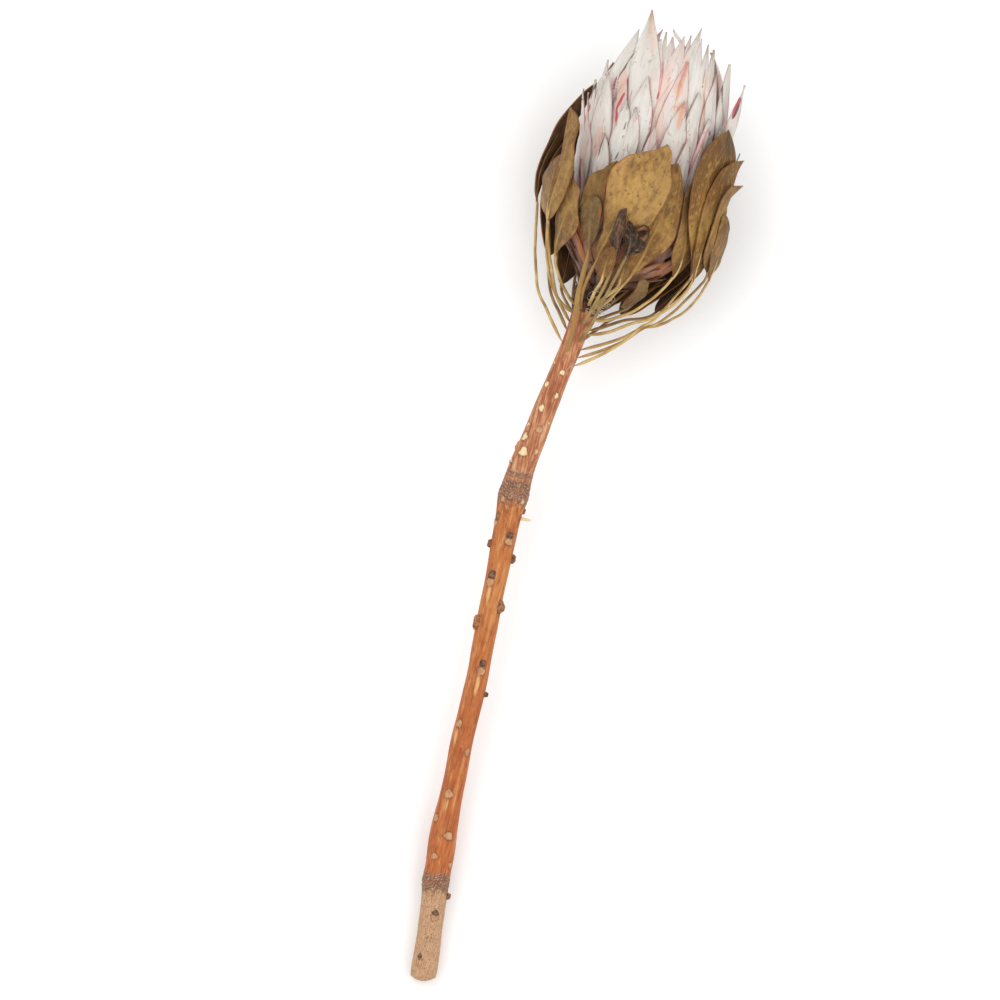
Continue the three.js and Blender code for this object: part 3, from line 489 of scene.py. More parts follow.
def stem_bark():
    """Orange-brown bark in lengthwise fibres, pinker above the upper rings and paler by the cut."""
    bark = Finish("stem_bark", Specular_IOR_Level=0.3)
    along = (bark.split(bark.sheet())[1] - CAP_SHARE) * (HEAD_START / (1 - CAP_SHARE))
    pale, rims, streaks, _ = bark.marks()
    fibres = bark.noise(bark.place(900, 55, 900), 5)
    threads = bark.noise(bark.place(620, 22, 620), 2)
    broad = bark.noise(bark.place(420, 26, 420), 4, 0.6)
    fine = bark.noise(bark.place(2600, 160, 2600))
    patches = bark.noise(bark.place(110, 28, 110), 4)
    blots = bark.noise(bark.place(330, 170, 330), 5, 0.65)
    specks = bark.noise(bark.place(1500, 1100, 1500), 2)
    edge = along + (patches - 0.5) * 6 + (fibres - 0.5) * 3
    cracks = abs(threads - 0.5).ramp(0.022, 0.006) * broad.ramp(0.62, 0.42)
    rust = blots.ramp(0.47, 0.58) * (edge.ramp(205, 240) * 0.55 + 0.25 - edge.ramp(256, 264) * 0.45)
    salmon = bark.coats(
        "a2603f",
        (fibres.ramp(0.38, 0.66), "cd956b"),
        (broad.ramp(0.52, 0.68) * 0.6, "deaf88"),
        (broad.ramp(0.46, 0.32) * 0.5, "9a5236"),
    )
    cut_wood = bark.coats(
        "a98160",
        (fine.ramp(0.35, 0.65), "c9a17d"),
        (broad.ramp(0.5, 0.7) * 0.3, "c08a66"),
        (specks.ramp(0.54, 0.66) * 0.6, "70503b"),
        (blots.ramp(0.55, 0.7) * 0.35, "c9957a"),
    )
    wrinkle = along * 0.55 + (blots - 0.5) * 5 + (patches - 0.5) * 6
    wrinkle = abs(wrinkle.wrapped() - 0.5).ramp(0.12, 0.36)
    ring_colour = bark.coats(
        "5e4538",
        (fine.ramp(0.35, 0.65), "b6967f"),
        (wrinkle * (0.25 + fine), "4c3028"),
        (blots.ramp(0.5, 0.62) * 0.55, "b4794f"),
    )
    ring_edge = edge + (blots - 0.5) * 7
    in_rings = [abs(ring_edge - middle).ramp(half + 1.5, half - 1) for middle, half in RINGS]
    cream = bark.coats("e6d0a4", (blots.ramp(0.45, 0.7) * 0.5, "c9a878"))
    scar_colour = bark.coats(
        "c79c72",
        (fine.ramp(0.4, 0.7), "a57850"),
        (blots.ramp(0.45, 0.65) * 0.6, "8d6446"),
        (pale.ramp(0.55, 0.85), cream),
    )
    colour = bark.coats(
        "b46534",
        (edge.ramp(130, 190), "ba703a"),
        (broad.ramp(0.5, 0.68) * 0.6, "cf965c"),
        (fibres.ramp(0.54, 0.72) * 0.5, "e0ab74"),
        (broad.ramp(0.46, 0.32) * 0.6, "9c5228"),
        (fibres.ramp(0.46, 0.3) * 0.6, "894621"),
        (edge.ramp(252, 257), salmon),
        (cracks * 0.55, "6f3820"),
        (rust * patches.ramp(0.38, 0.55), "823c20"),
        (edge.ramp(47, 43), cut_wood),
        *[(near * (blots * 0.9 + 0.4), ring_colour) for near in in_rings],
        (edge.ramp(343, 350) * 0.8, "553529"),
        (blots.ramp(0.58, 0.7) * 0.5 * edge.ramp(48, 60), "8c4526"),
        (specks.ramp(0.64, 0.74) * 0.5, "6b3a22"),
        (streaks * 0.75 * fibres.ramp(0.3, 0.5), "dfb77a"),
        (rims * (0.35 + blots), "5c3630"),
        (pale.ramp(0.12, 0.35), scar_colour),
    )
    height = fibres * 0.4 + broad * 0.25 + fine * 0.2 + blots * 0.15
    return bark.finish(colour, 0.55 + fine * 0.25, height, 0.001)


def bud_bark():
    """Cracked skin of the dried buds: nearly black, or orange-brown where the twig broke off."""
    skin = Finish("bud_skin", Specular_IOR_Level=0.3)
    orange, middle, foot, _ = skin.marks()
    cracks = skin.noise(skin.place(900, 900, 900), 4)
    broken = skin.coats("8f5534", (cracks.ramp(0.35, 0.65), "cf9560"))
    colour = skin.coats(
        "382620",
        (cracks.ramp(0.35, 0.65), "7c5b49"),
        (orange, broken),
        (middle * 0.5, "9a7558"),
        (foot * 0.5, "7c4527"),
    )
    return skin.finish(colour, 0.8, cracks, 0.0009)


def cut_face():
    """The sawn end: pale wood with growth rings and a brown pith."""
    face = Finish("cut_face", Specular_IOR_Level=0.3)
    along = face.split(face.sheet())[1]
    grain = face.noise(face.place(1400, 1400, 1400))
    rings = abs((along * 240 + grain * 0.8).wrapped() - 0.5).ramp(0.1, 0.4)
    colour = face.coats(
        "c9a37c",
        (rings, "ddc09a"),
        (along.ramp(0.006, 0.003), "8a5c3c"),
        (along.ramp(0.0175, 0.0198), "7d563c"),
    )
    return face.finish(colour, 0.8, grain, 0.0004)


def thorn_place(s, t):
    """The side twig, thinner to its blunt tip."""
    across, along, length = THORN
    thickness = (1 - 0.3 * t) * tapered(t, 0.05, 0.12) ** 0.5
    turn = s * math.pi
    y = along + np.cos(turn) * thickness + 0.5 * t
    z = CUT_HEIGHT + RISE * along + np.sin(turn) * thickness + 0.4 * t
    return in_plan(across + length * t, y, z)


stem = sheet_of("stem_wood", STEM_ROUND, STEM_ROWS, stem_place, stem_masks)
for skin in (stem_bark(), cut_face(), bud_bark()):
    stem.data.materials.append(skin)
for polygon in stem.data.polygons:
    if polygon.index // STEM_ROUND < STEM_ROWS * CAP_SHARE - 1:
        polygon.material_index = 1
closed(stem)
stem_pieces = [stem]
for bud in BUDS:
    stump = bud_lump(*bud)
    stump.data.materials.append(stem.data.materials[2])
    stem_pieces.append(stump)
thorn = closed(sheet_of("thorn", 10, 14, thorn_place, evenly(0.9, 0, 0)))
thorn.data.materials.append(stem.data.materials[0])
stem_pieces.append(thorn)
stem = joined("stem_wood", stem_pieces)
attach(stem, "root")
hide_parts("stem")

# The bracts: long pointed scales, thin and velvety, white with pink edges, in a spiral round the
# head with the lower ones outside. Each is a flat blade bent to the head, given its thickness and
# joined to the rest. The tables give the ones that show, as seen from above.
BRACT_THICKNESS = 0.5
BRACT_WIDEST = 0.55
SHOWN_GRID = (26, 40)
RULE_COUNT = 56
RULE_GRID = (9, 24)
GOLDEN_ANGLE = 137.508
# The head's radius, by place along it.
HEAD_RADIUS = [
    (0, 7.5), (5, 8.5), (10, 10.8), (17, 18.5), (24, 25.5), (32, 30.5), (45, 36), (60, 38.5),
    (75, 39.5), (90, 39.5), (102, 39.2), (115, 36), (125, 32), (131, 28.5), (137, 24), (142, 19.5),
    (148, 15.5),
]
# foot x, y; tip x, y; width; lean of the tip; how pink and how brown its tip is, 0 to 1.
BRACTS = [
    (4, 425, -2, 498.3, 17.5, 4, 0.1, 0.9), (-21, 425, -6.7, 487.5, 16, 0, 0.3, 0.1),
    (-20, 410, -18, 469, 9.5, 0, 0.5, 0.3), (-13, 405, -16.7, 463, 14.5, 2.5, 0.25, 0.2),
    (-18, 400, -27, 452.5, 8, 0, 0.3, 0.4), (-16, 395, -24, 451, 9, -1.5, 0.8, 0.3),
    (-16, 385, -19.3, 418, 7, 0, 1, 0.8), (-9, 395, -10.8, 433, 10.5, 0, 0.2, 0.8),
    (-4, 405, -3.8, 451.3, 11, 0, 0.15, 0.4), (1, 420, 6, 485, 15, 0, 0.5, 0.1),
    (3, 410, 2.7, 465.3, 14, 0, 0.15, 0.1), (1, 405, 2, 449, 9, 0, 0.4, 0.6),
    (12, 425, 16, 489, 13.5, 0, 0.6, 0.1), (18, 405, 20.2, 477, 14.5, 0, 0.9, 0.5),
    (21, 395, 23.7, 457.3, 14, 0, 0.5, 0.9), (16, 425, 23.7, 495, 10.5, 1, 0.2, 0.4),
    (27, 420, 25.7, 490, 10, 0, 0.1, 0.1), (34, 415, 29, 488, 10, 0, 0.3, 0.5),
    (40, 425, 31.7, 486, 7.5, 0, 0.1, 0.8), (39, 405, 36.8, 475.5, 10.5, 0, 0.3, 0.8),
    (48, 415, 41.3, 481, 11.5, 3, 0.2, 0.2), (47, 412, 51.8, 472.5, 11, 13, 0.1, 0.2),
    (31, 400, 29.5, 463.5, 10, 0, 0.3, 0.2), (30, 390, 30, 439.5, 10, 0, 0.2, 0.3),
    (37, 395, 37.5, 452, 9, 0, 0.8, 0.2), (36, 385, 37, 437, 8.5, 0, 0.6, 0.4),
    (50, 395, 57, 439, 8, 6, 0.6, 0.5), (10, 430, 7.7, 489.2, 6, -1, 0.2, 0.5),
    (18.5, 483, 9.2, 491.2, 2.4, 1, 0.2, 0.4), (18, 430, 19.7, 490.4, 7, -1, 0.2, 0.3),
    (-9, 420, -7.5, 463, 10, -3, 1, 0.2), (11, 432, 11.8, 487.5, 11, -1.5, 0.5, 0.2),
    (-17, 392, -22, 446, 9.5, -2, 0.4, 0.3), (-21, 405, -21.5, 458, 8, -1, 0.3, 0.3),
    (43, 392, 44.5, 447, 9.5, 0.5, 0.3, 0.2), (12, 398, 12.3, 441, 9, 0, 0.3, 0.2),
]
# Slits, edges and creases, drawn as seen from above: width and places across and along.
CRIMSON_LINES = [
    (0.9, [(-11.6, 462), (-12, 458), (-11.6, 454)]), (1, [(-6.2, 455), (-7.4, 449), (-8.1, 445.5)]),
    (1, [(-8.2, 447), (-7.4, 443.5), (-7, 439)]), (0.8, [(-21.2, 445.5), (-21.5, 441)]),
    (0.8, [(-19.7, 418.5), (-18.9, 412.5), (-16.3, 403)]), (0.7, [(10.4, 459), (10.3, 454.5)]),
    (0.7, [(39.7, 446.3), (39.6, 443.8)]), (1.9, [(50.7, 466.5), (49.5, 461), (49, 454.5)]),
    (0.6, [(30, 442.2), (30, 441)]), (0.8, [(4, 478), (4, 476.8)]), (0.5, [(30.7, 468), (30.9, 465.5)]),
]
PINK_LINES = [
    (0.6, [(8.2, 475), (9.8, 463), (10.3, 457)]), (0.6, [(9.6, 451), (10, 443.5), (11, 440)]),
    (0.9, [(10.6, 441), (11.8, 435), (11.6, 429.5)]), (0.6, [(16, 467), (13, 459), (10.6, 452)]),
    (0.9, [(16.2, 437), (14.4, 432.5), (12.6, 429)]), (0.6, [(38.6, 448), (37.4, 441), (36.8, 437)]),
    (0.7, [(20.7, 476.5), (20.2, 470), (19.6, 466)]), (1, [(19.3, 466), (20.4, 463.5)]),
    (0.9, [(20.2, 454), (21, 452.5)]), (0.8, [(-10.4, 416.5), (-10.8, 413.5)]),
    (0.5, [(1.4, 445.4), (3, 442.6)]), (0.6, [(-14.6, 461), (-11, 452), (-8.6, 443)]),
]
# Dark lines: partly painted shadow in the gaps along bract edges and on the shaded inner face of a bract
# that leans out, partly real dark specks.
DARK_AND_SHADOW_LINES = [
    (0.6, [(-5.4, 476.2), (-8, 470.6)]), (0.7, [(-7.8, 471), (-8.8, 467), (-10.4, 463)]),
    (0.5, [(-10.2, 464.5), (-10.8, 460), (-10.5, 456)]), (1.2, [(-20.2, 457), (-22.2, 452), (-21.8, 448)]),
    (0.5, [(-10.9, 433.4), (-11.3, 427), (-11.5, 421)]), (0.5, [(-13.4, 413.8), (-12.2, 411)]),
    (0.4, [(-2.1, 425.5), (-3.1, 421)]), (0.3, [(-2, 440.6), (-2.2, 436.4)]),
    (0.4, [(-1.8, 434.3), (-2, 432.3)]), (0.4, [(-17, 462.6), (-17.6, 460.6)]),
    (0.7, [(-25.8, 447.4), (-25.6, 446.2)]), (0.5, [(26, 452), (25.7, 449.6)]),
    (0.7, [(39.8, 471), (41.2, 465.5), (42.6, 460)]), (0.9, [(50.6, 463), (50.1, 458.5), (49.3, 455)]),
    (0.5, [(7, 480), (7, 479.4)]),
]
BROWN_LINES = [
    (1, [(-10.6, 457), (-9.2, 449)]), (0.7, [(-23, 449), (-21.5, 441.5), (-20, 436)]),
    (0.5, [(-20, 436), (-17, 430), (-15, 425)]), (0.6, [(-9.6, 431.8), (-7.5, 426), (-5, 419)]),
    (0.6, [(1.6, 431), (1.8, 428), (2.6, 425.5)]), (0.5, [(4.1, 464), (7, 456), (9.2, 452)]),
    (0.5, [(29.3, 463.5), (27.9, 457), (26.2, 451.5)]), (0.5, [(26, 450), (28.2, 443), (29.4, 439)]),
    (0.5, [(29.4, 440), (27.8, 433)]), (0.8, [(31.5, 465), (34, 458.5), (35.2, 452.5)]),
    (0.5, [(35.3, 453), (36.2, 446)]), (0.7, [(42.4, 461), (44.6, 454), (45, 450)]),
    (0.6, [(30.2, 476), (30.5, 468)]), (0.5, [(2.4, 449.4), (3.6, 446.2)]), (0.5, [(-3.8, 451), (-3, 446)]),
    (0.5, [(20.6, 455.5), (21.8, 451)]), (0.6, [(23.5, 457.6), (23.8, 455)]),
    (0.6, [(-22, 440), (-21.8, 434)]),
]
# Soft peach and orange places: from x, y to x, y; width; strength.
PEACH_PLACES = [
    (-8.8, 467, -7.4, 446, 4, 0.6), (-13.5, 436, -13.5, 420, 4.5, 0.5), (20.5, 479, 19.8, 456, 2.6, 0.9),
    (19, 466, 20, 459, 5, 0.55), (21.3, 456, 21.8, 450, 1.7, 0.9), (20.4, 454, 19.4, 452, 2.4, 0.6),
    (23.7, 458, 23.6, 443, 2.2, 0.9), (31.8, 467, 35.6, 446, 1.6, 0.75), (32, 474, 32.4, 465, 3, 0.35),
    (38, 476, 38.6, 466, 1.8, 0.55), (-2, 499, 2.8, 477, 4, 0.3), (12, 474, 12.5, 436, 5.5, 0.3),
    (14, 447, 15.5, 432, 6, 0.3), (37.8, 440, 37.6, 434, 2.6, 0.5), (47.6, 452, 47.4, 449.5, 1.4, 0.6),
    (-7.4, 444, -7, 438.5, 1.6, 0.9), (26.6, 456, 26, 450, 1.4, 0.5), (-19.2, 428, -18.6, 416, 3.6, 0.5),
]


def beside(points, width, places):
    """How many millimetres inside a drawn line the points are; the line thins to its ends."""
    x = points[:, 0] + PLAN_MIDDLE[0]
    y = points[:, 1] + PLAN_MIDDLE[1]
    steps = [math.dist(a, b) for a, b in zip(places, places[1:])]
    far_off = -9.0
    inside = np.full(len(x), far_off)
    done = 0
    for (x0, y0), (x1, y1), step in zip(places, places[1:], steps):
        share = np.clip(((x - x0) * (x1 - x0) + (y - y0) * (y1 - y0)) / step**2, 0, 1)
        gap = np.hypot(x - x0 - share * (x1 - x0), y - y0 - share * (y1 - y0))
        whole = (done + share * step) / sum(steps)
        reach = width / 2 * np.sqrt(np.maximum(1 - (2 * whole - 1) ** 2, 0)) + 0.05
        inside = np.maximum(inside, reach - gap)
        done += step
    on_upper_side = points[:, 2] - CUT_HEIGHT - RISE * y > 2
    return np.where(on_upper_side, inside, far_off)


def seen_line(x0, y0, x1, y1):
    """Foot and tip along the head of a line seen from above, and its angle(share, radius)."""
    foot, foot_side = head_place(x0, y0)
    tip, tip_side = head_place(x1, y1)
    return foot, tip, lambda t, radius: angle_for(foot_side + (tip_side - foot_side) * t, radius)


def held_at(degrees):
    """The angle(share, radius) of a piece that keeps to one side of the head."""
    return lambda t, radius: degrees


def bract(foot, tip, angle, width, out, pink, brown, grid, drawn=True):
    """One bract: foot and tip along the head, angle(share, radius), width, how far its tip leans
    out, how pink and brown it is, its grid, and whether the drawn lines are on it."""
    ripple = random.random() * 6
    twist = random.uniform(-1, 1)
    roll = random.uniform(0.2, 0.9)

    def half_width(t):
        widening = 0.6 + 0.4 * t / BRACT_WIDEST
        narrowing = 1 - (np.maximum(t - BRACT_WIDEST, 0) / (1 - BRACT_WIDEST)) ** 1.6
        return np.maximum(width / 2 * np.where(t < BRACT_WIDEST, widening, narrowing), 0.2)

    def place(s, t):
        along = foot + (tip - foot) * t
        sunk = 0.07 * (tip - along) + 3 * (1 - t) ** 2
        radius = curve(HEAD_RADIUS, along) - sunk + out * t**2
        half = half_width(t) * (1 + 0.06 * np.sin(9 * t + ripple + s))
        full = np.minimum(half / 4, 1)
        ridge = 0.35 * np.exp(-((s / 0.16) ** 2)) * (1 - t)
        folds = 0.16 * np.sin(s * 8 + ripple + 2 * np.sin(6 * t + ripple))
        folds = folds + 0.1 * np.sin(s * 17 + 2 * ripple + 5 * t) * np.sin(9 * t + ripple)
        curl = twist * s * np.maximum(t - 0.75, 0) * 3
        rolled = roll * 0.5 * np.clip((np.abs(s) - 0.82) / 0.18, 0, 1) ** 2
        lift = radius - 0.9 * s**2 * full + (ridge + folds + rolled) * full + curl
        bend = twist * 1.2 * np.maximum(t - 0.6, 0) ** 2 * 6
        turn = np.degrees((s * half + bend) / radius)
        return at(along, angle(t, radius) - turn, np.maximum(lift, 2))

    def marks(s, t):
        points = place(s, t)
        peach = np.zeros(len(s))
        for x0, y0, x1, y1, reach, strength in PEACH_PLACES:
            inside = beside(points, reach, [(x0, y0), (x1, y1)])
            peach = np.maximum(peach, strength * np.clip(inside / 1.2 + 0.5, 0, 1))
        return pink, brown, peach

    def stains(s, t):
        """0.5 at the border of a line, more inside and less outside, a quarter per millimetre."""
        points = place(s, t)
        for lines in (CRIMSON_LINES, DARK_AND_SHADOW_LINES, BROWN_LINES, PINK_LINES):
            inside = np.max([beside(points, *line) for line in lines], axis=0)
            yield np.clip(0.5 + inside / 4, 0, 1)

    return sheet_of("bract", *grid, place, marks, stains if drawn else evenly(0, 0, 0, 0))


def bract_velvet():
    """White down over thin pink tissue: pink edges, peach feet, brownish tips, creases, stains and painted
    shadow lines; the creases carry painted shade in their hollows and painted light on their ridges.
    """
    velvet = Finish("bract_velvet", Specular_IOR_Level=0.2, Sheen_Weight=0.15, Sheen_Roughness=0.5)
    across, along, _ = velvet.split(velvet.sheet())
    pink, brown, peach, _ = velvet.marks()
    # The drawn lines: crimson slits, dark lines that are partly painted shadow, brown lines and pink lines.
    crimson, dark, umber, rose = velvet.marks("stains")
    edge = abs(across - 0.5) * 2
    cloud = velvet.noise(velvet.place(90, 40, 90), 4)
    blush = velvet.noise(velvet.place(45, 28, 45), 2)
    lines = velvet.noise(velvet.sheet(26, 1.5, 1), 4)
    creases = velvet.noise(velvet.place(430, 85, 430), 5, 0.65)
    folds = velvet.noise(velvet.place(260, 45, 260))
    down = velvet.noise(velvet.place(1800, 1100, 1800))
    specks = velvet.noise(velvet.place(420, 190, 420), 3, 0.65)
    warm = (blush + pink * 0.25).ramp(0.5, 0.8) * along.ramp(0.95, 0.3)
    rosy = (lines * 0.6 + blush * 0.5 + pink * 0.3).ramp(0.66, 0.95)
    # Thin crease lines, sunk in the relief and painted darker as the shade in them.
    shaded_crease = abs(folds - 0.5).ramp(0.012, 0.004) * creases.ramp(0.48, 0.6)
    rim = edge.ramp(0.88, 0.98) * (lines * 0.5 + blush + pink * 0.35).ramp(0.6, 0.95)
    ragged = (creases - 0.5) * 0.2
    colour = velvet.coats(
        "cbc6be",
        (cloud.ramp(0.3, 0.7), "dad5cd"),
        # Painted shade: greyer where the crease relief is low; painted light: paler where it is high.
        (creases.ramp(0.48, 0.32) * 0.3, "b9b0a6"),
        (creases.ramp(0.56, 0.7) * 0.35, "e4e0d9"),
        (lines.ramp(0.55, 0.75) * 0.3, "c2bab0"),
        (warm * 0.55, "e4c9b8"),
        (rosy * 0.4, "dcaaa8"),
        # Painted shade in the thin crease lines.
        (shaded_crease * 0.55, "a98f84"),
        (rim * 0.75, "b86a72"),
        (along.ramp(0.88, 1) * brown.ramp(0, 0.9) * 0.8, "9c7e6a"),
        (along.ramp(0.6, 0.95) * brown * (1 - edge) * 0.7, "b3a290"),
        (peach * (0.25 + creases), "dd9c7e"),
        ((umber + ragged).ramp(0.44, 0.54) * 0.7, "a3867a"),
        ((rose + ragged).ramp(0.44, 0.54) * (0.1 + creases), "cf8088"),
        ((crimson + ragged).ramp(0.44, 0.54) * 0.9, "b04452"),
        # Painted shadow along bract edges, with some real dark specks.
        ((dark + ragged).ramp(0.44, 0.54) * 0.85, "5b4740"),
        (specks.ramp(0.7, 0.76) * 0.6, "80625a"),
    )
    height = creases * 0.4 + down * 0.15 + lines * 0.3 - shaded_crease * 0.3
    return velvet.finish(colour, 0.85, height, 0.0009)


def thickened(piece, thickness, inside=0):
    """Gives a thin sheet its thickness, half to each side; inside is the inner face's finish."""
    picked(piece)
    bpy.ops.object.modifier_add(type="SOLIDIFY")
    wall = piece.modifiers[-1]
    wall.thickness = thickness * MM
    wall.offset = 0
    wall.material_offset = inside
    bpy.ops.object.modifier_apply(modifier=wall.name)
    bpy.ops.object.shade_smooth()
    return piece


def turned_body(outline, first, length, inset, ends):
    """Where a closed body round the middle line goes, smaller than an outline of radii by inset."""

    def place(s, t):
        along = first + length * t
        return at(along, s * 180, (curve(outline, along) - inset) * tapered(t, *ends))

    return place


bract_sheets = []
for *ends, width, out, pink, brown in BRACTS:
    bract_sheets.append(bract(*seen_line(*ends), width, out, pink, brown, SHOWN_GRID))
for i in range(RULE_COUNT):
    degrees = (20 + GOLDEN_ANGLE * i + random.uniform(-2, 2)) % 360
    sideways = abs(math.cos(math.radians(degrees))) ** 3
    tip = 64 + (80 - 10 * sideways) * (i / RULE_COUNT) ** 0.9 + random.uniform(-2, 2)
    width = random.uniform(11.5, 15)
    # None where the drawn ones lie, nor tall ones on the left, where the head is a little open.
    if 25 < degrees < 160 or (tip > 120 and 160 < degrees < 200):
        continue
    foot = tip - 32 - 0.42 * (tip - 64)
    pink = random.random() * 0.8
    brown = random.random() * 0.6
    look = (width, -7 * sideways, pink, brown, RULE_GRID)
    bract_sheets.append(bract(foot, tip, held_at(degrees), *look, drawn=False))
bracts = thickened(joined("bracts_velvet", bract_sheets), BRACT_THICKNESS)
bracts.data.materials.append(bract_velvet())
core_place = turned_body(HEAD_RADIUS, 24, 60, 6.5, (0.08, 0.08))
core = closed(sheet_of("core", 32, 24, core_place, evenly(0.4, 0.3, 0.3), evenly(0, 0, 0, 0)))
core.data.materials.append(bracts.data.materials[0])
bracts = joined("bracts_velvet", [bracts, core])
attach(bracts, "root")
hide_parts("bracts")

# The florets: hundreds of slim hairy styles that stand close together in a dome inside the bracts,
# cream with browned tips. Each is a narrow four-sided spike on a domed bed.
FLORET_COUNT = 620
FLORET_RADIUS = 0.75
FLORET_REACH = 35.5
# The dome's radius, by place along the head. The florets stand on it from its top down.
DOME = [(85.4, 24), (92, 25), (102, 24), (111, 19.5), (117, 13), (120, 6), (121, 1)]


def floret(i):
    """One floret; their feet lie evenly over the dome, from its top down."""
    start = DOME[-1][0] - FLORET_REACH * (i + 0.5) / FLORET_COUNT
    radius = float(curve(DOME, start)) - 1
    degrees = GOLDEN_ANGLE * i
    length = random.uniform(7, 11)
    sway = random.uniform(-1, 1)

    def place(s, t):
        thickness = (FLORET_RADIUS * (1 - t) ** 0.5 + 0.22) * tapered(t, 0.1, 0.1)
        turn = s * math.pi
        here = radius + np.cos(turn) * thickness + 0.12 * radius * t * (1 - 0.5 * t)
        spin = np.degrees((np.sin(turn) * thickness + sway * t**2) / max(radius, 1.5))
        return at(start - 3 + (length + 3) * t, degrees + spin, here)

    def marks(s, t):
        return t, random.random(), 0

    return sheet_of("floret", 4, 4, place, marks)


def floret_hair():
    """Cream down that turns rust brown at the tips."""
    hair = Finish("floret_hair", Specular_IOR_Level=0.2, Sheen_Weight=0.3)
    height, tone, _, _ = hair.marks()
    fluff = hair.noise(hair.place(1500, 900, 1500))
    colour = hair.coats("eadbc8", (height.ramp(0.3, 1), "c08a6c"), (tone * 0.3, "a36a5a"))
    return hair.finish(colour, 0.9, fluff, 0.0004)


bed_place = turned_body(DOME, DOME[0][0], DOME[-1][0] - DOME[0][0], 1, (0.05, 0.02))
bed = sheet_of("floret_bed", 36, 20, bed_place, evenly(0.3, 0.5, 0))
florets = closed(joined("floret_dome", [bed, *[floret(i) for i in range(FLORET_COUNT)]]))
florets.data.materials.append(floret_hair())
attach(florets, "root")
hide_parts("florets")

# The base scales: short brown bracts in rows on the cone where the head swells from the stem,
# nearly black and small below, long and orange-brown above, with grey cotton fluff caught between
# the lowest on one side. Each is a cupped sheet with a thickness.
SCALE_COUNT = 74
SMALL_COUNT = 60
SCALE_THICKNESS = 0.4
FLUFF_COUNT = 24
FLUFF_RADIUS = 0.17
ONE_TURN = 6.28
# The long ones that show: foot x, y; tip x, y; width; tone, 0 dark purple to 1 orange.
LONG_SCALES = [
    (-4.5, 363, -15.5, 384, 6.5, 1), (-6, 361, -18, 377, 5, 0.15), (-5, 372, -11, 388, 6, 0.8),
    (11, 361, 33, 377.5, 6.5, 0.75), (10, 359, 36, 369.5, 4.5, 0.5), (9, 366, 29, 382, 6, 1),
]


def scale_base(along):
    """The radius that the scales grow on, of the stem at first and of the head further up."""
    return np.where(along < 0, curve(STEM_WIDTH, HEAD_START + along) / 2, curve(HEAD_RADIUS, along))


def scale(foot, tip, angle, width, spread, tone):
    """One scale: its foot sunk in, its tip spread out, cupped from side to side."""

    def place(s, t):
        along = foot + (tip - foot) * t
        radius = scale_base(along) - 1.4 * (1 - t) + spread * (1.3 * np.minimum(1, 2.2 * t) + 0.9 * t**3)
        half = np.maximum(width / 2 * np.sqrt(np.maximum(1 - t**1.6, 0)), 0.2)
        cup = radius - 0.8 * s**2 * np.minimum(half / 3, 1)
        return at(along, angle(t, radius) - np.degrees(s * half / np.maximum(radius, 4)), cup)

    return sheet_of("scale", 6, 10, place, lambda s, t: (tone, random.random(), t))


def rule_scales():
    """The ones of the spiral: first the small dark ones, then rows that get longer upwards."""
    for i in range(SMALL_COUNT + SCALE_COUNT):
        degrees = GOLDEN_ANGLE * i + 50 + random.uniform(-5, 5)
        if i < SMALL_COUNT:
            tip = -3 + 15 * i / SMALL_COUNT + random.uniform(-1, 1)
            foot = tip - random.uniform(4.5, 6.5)
            width = random.uniform(3, 4.6)
            tone = random.random() * 0.25
        else:
            row = (i - SMALL_COUNT) / (SCALE_COUNT - 1)
            tip = 9 + 36 * row + random.uniform(-1.5, 1.5)
            foot = tip - 6 - 19 * row
            width = 4.5 + 7.5 * row + random.uniform(-0.7, 0.7)
            tone = min(1, 0.15 + 0.6 * row + random.uniform(-0.1, 0.35))
        yield scale(foot, tip, held_at(degrees), width, random.uniform(0.5, 1), tone)


def scale_skin():
    """Dry papery skin: dark purple, brown or orange, streaked lengthwise with grey and tan."""
    skin = Finish("scale_skin", Specular_IOR_Level=0.3)
    tone, chance, up, _ = skin.marks()
    lines = skin.noise(skin.sheet(12, 1.1, 1), 4, 0.65)
    cloud = skin.noise(skin.place(190, 100, 190), 4)
    share = tone + (cloud - 0.5) * 0.5
    colour = skin.coats(
        "3d2620",
        (share.ramp(0, 0.45), "785038"),
        (share.ramp(0.45, 0.95), "ad6d42"),
        (lines.ramp(0.5, 0.68) * (0.25 + tone * 0.45), "c9a283"),
        (lines.ramp(0.44, 0.3) * 0.6, "5a372e"),
        ((chance * cloud).ramp(0.3, 0.5) * 0.5, "8f817c"),
        (up.ramp(0.85, 1) * 0.5, "57352b"),
    )
    return skin.finish(colour, 0.65, lines * 0.7 + cloud * 0.3, 0.0007)


def fluff_strand():
    """A loose thread of cotton that wanders over the lowest scales."""
    start = random.uniform(-5, 6)
    degrees = random.uniform(34, 88)
    waves = [(random.uniform(2, 9), random.uniform(0, ONE_TURN), random.uniform(0.4, 1)) for _ in range(6)]
    drift = random.uniform(-3, 3)

    def wander(t, first, reach):
        return reach * sum(size * np.sin(speed * t + phase) for speed, phase, size in waves[first:][:2])

    def place(s, t):
        turn = s * math.pi
        thickness = FLUFF_RADIUS * tapered(t, 0.04, 0.04)
        here = start + drift * t + wander(t, 0, 1.5) + np.cos(turn) * thickness
        radius = scale_base(here) + 3.6 + wander(t, 4, 0.9) + np.sin(turn) * thickness
        return at(here, degrees + wander(t, 2, 9), np.maximum(radius, scale_base(here) + 0.6))

    return sheet_of("fluff", 4, 40, place, evenly(0, 0, 0))


def cotton():
    """Grey-white cotton, a little dusty."""
    fluff = Finish("cotton_fluff", Specular_IOR_Level=0.1, Sheen_Weight=0.4)
    dust = fluff.noise(fluff.place(700, 700, 700))
    colour = fluff.coats("b9a892", (dust.ramp(0.35, 0.65), "e6ddd0"))
    return fluff.finish(colour, 0.95, dust, 0.0003)


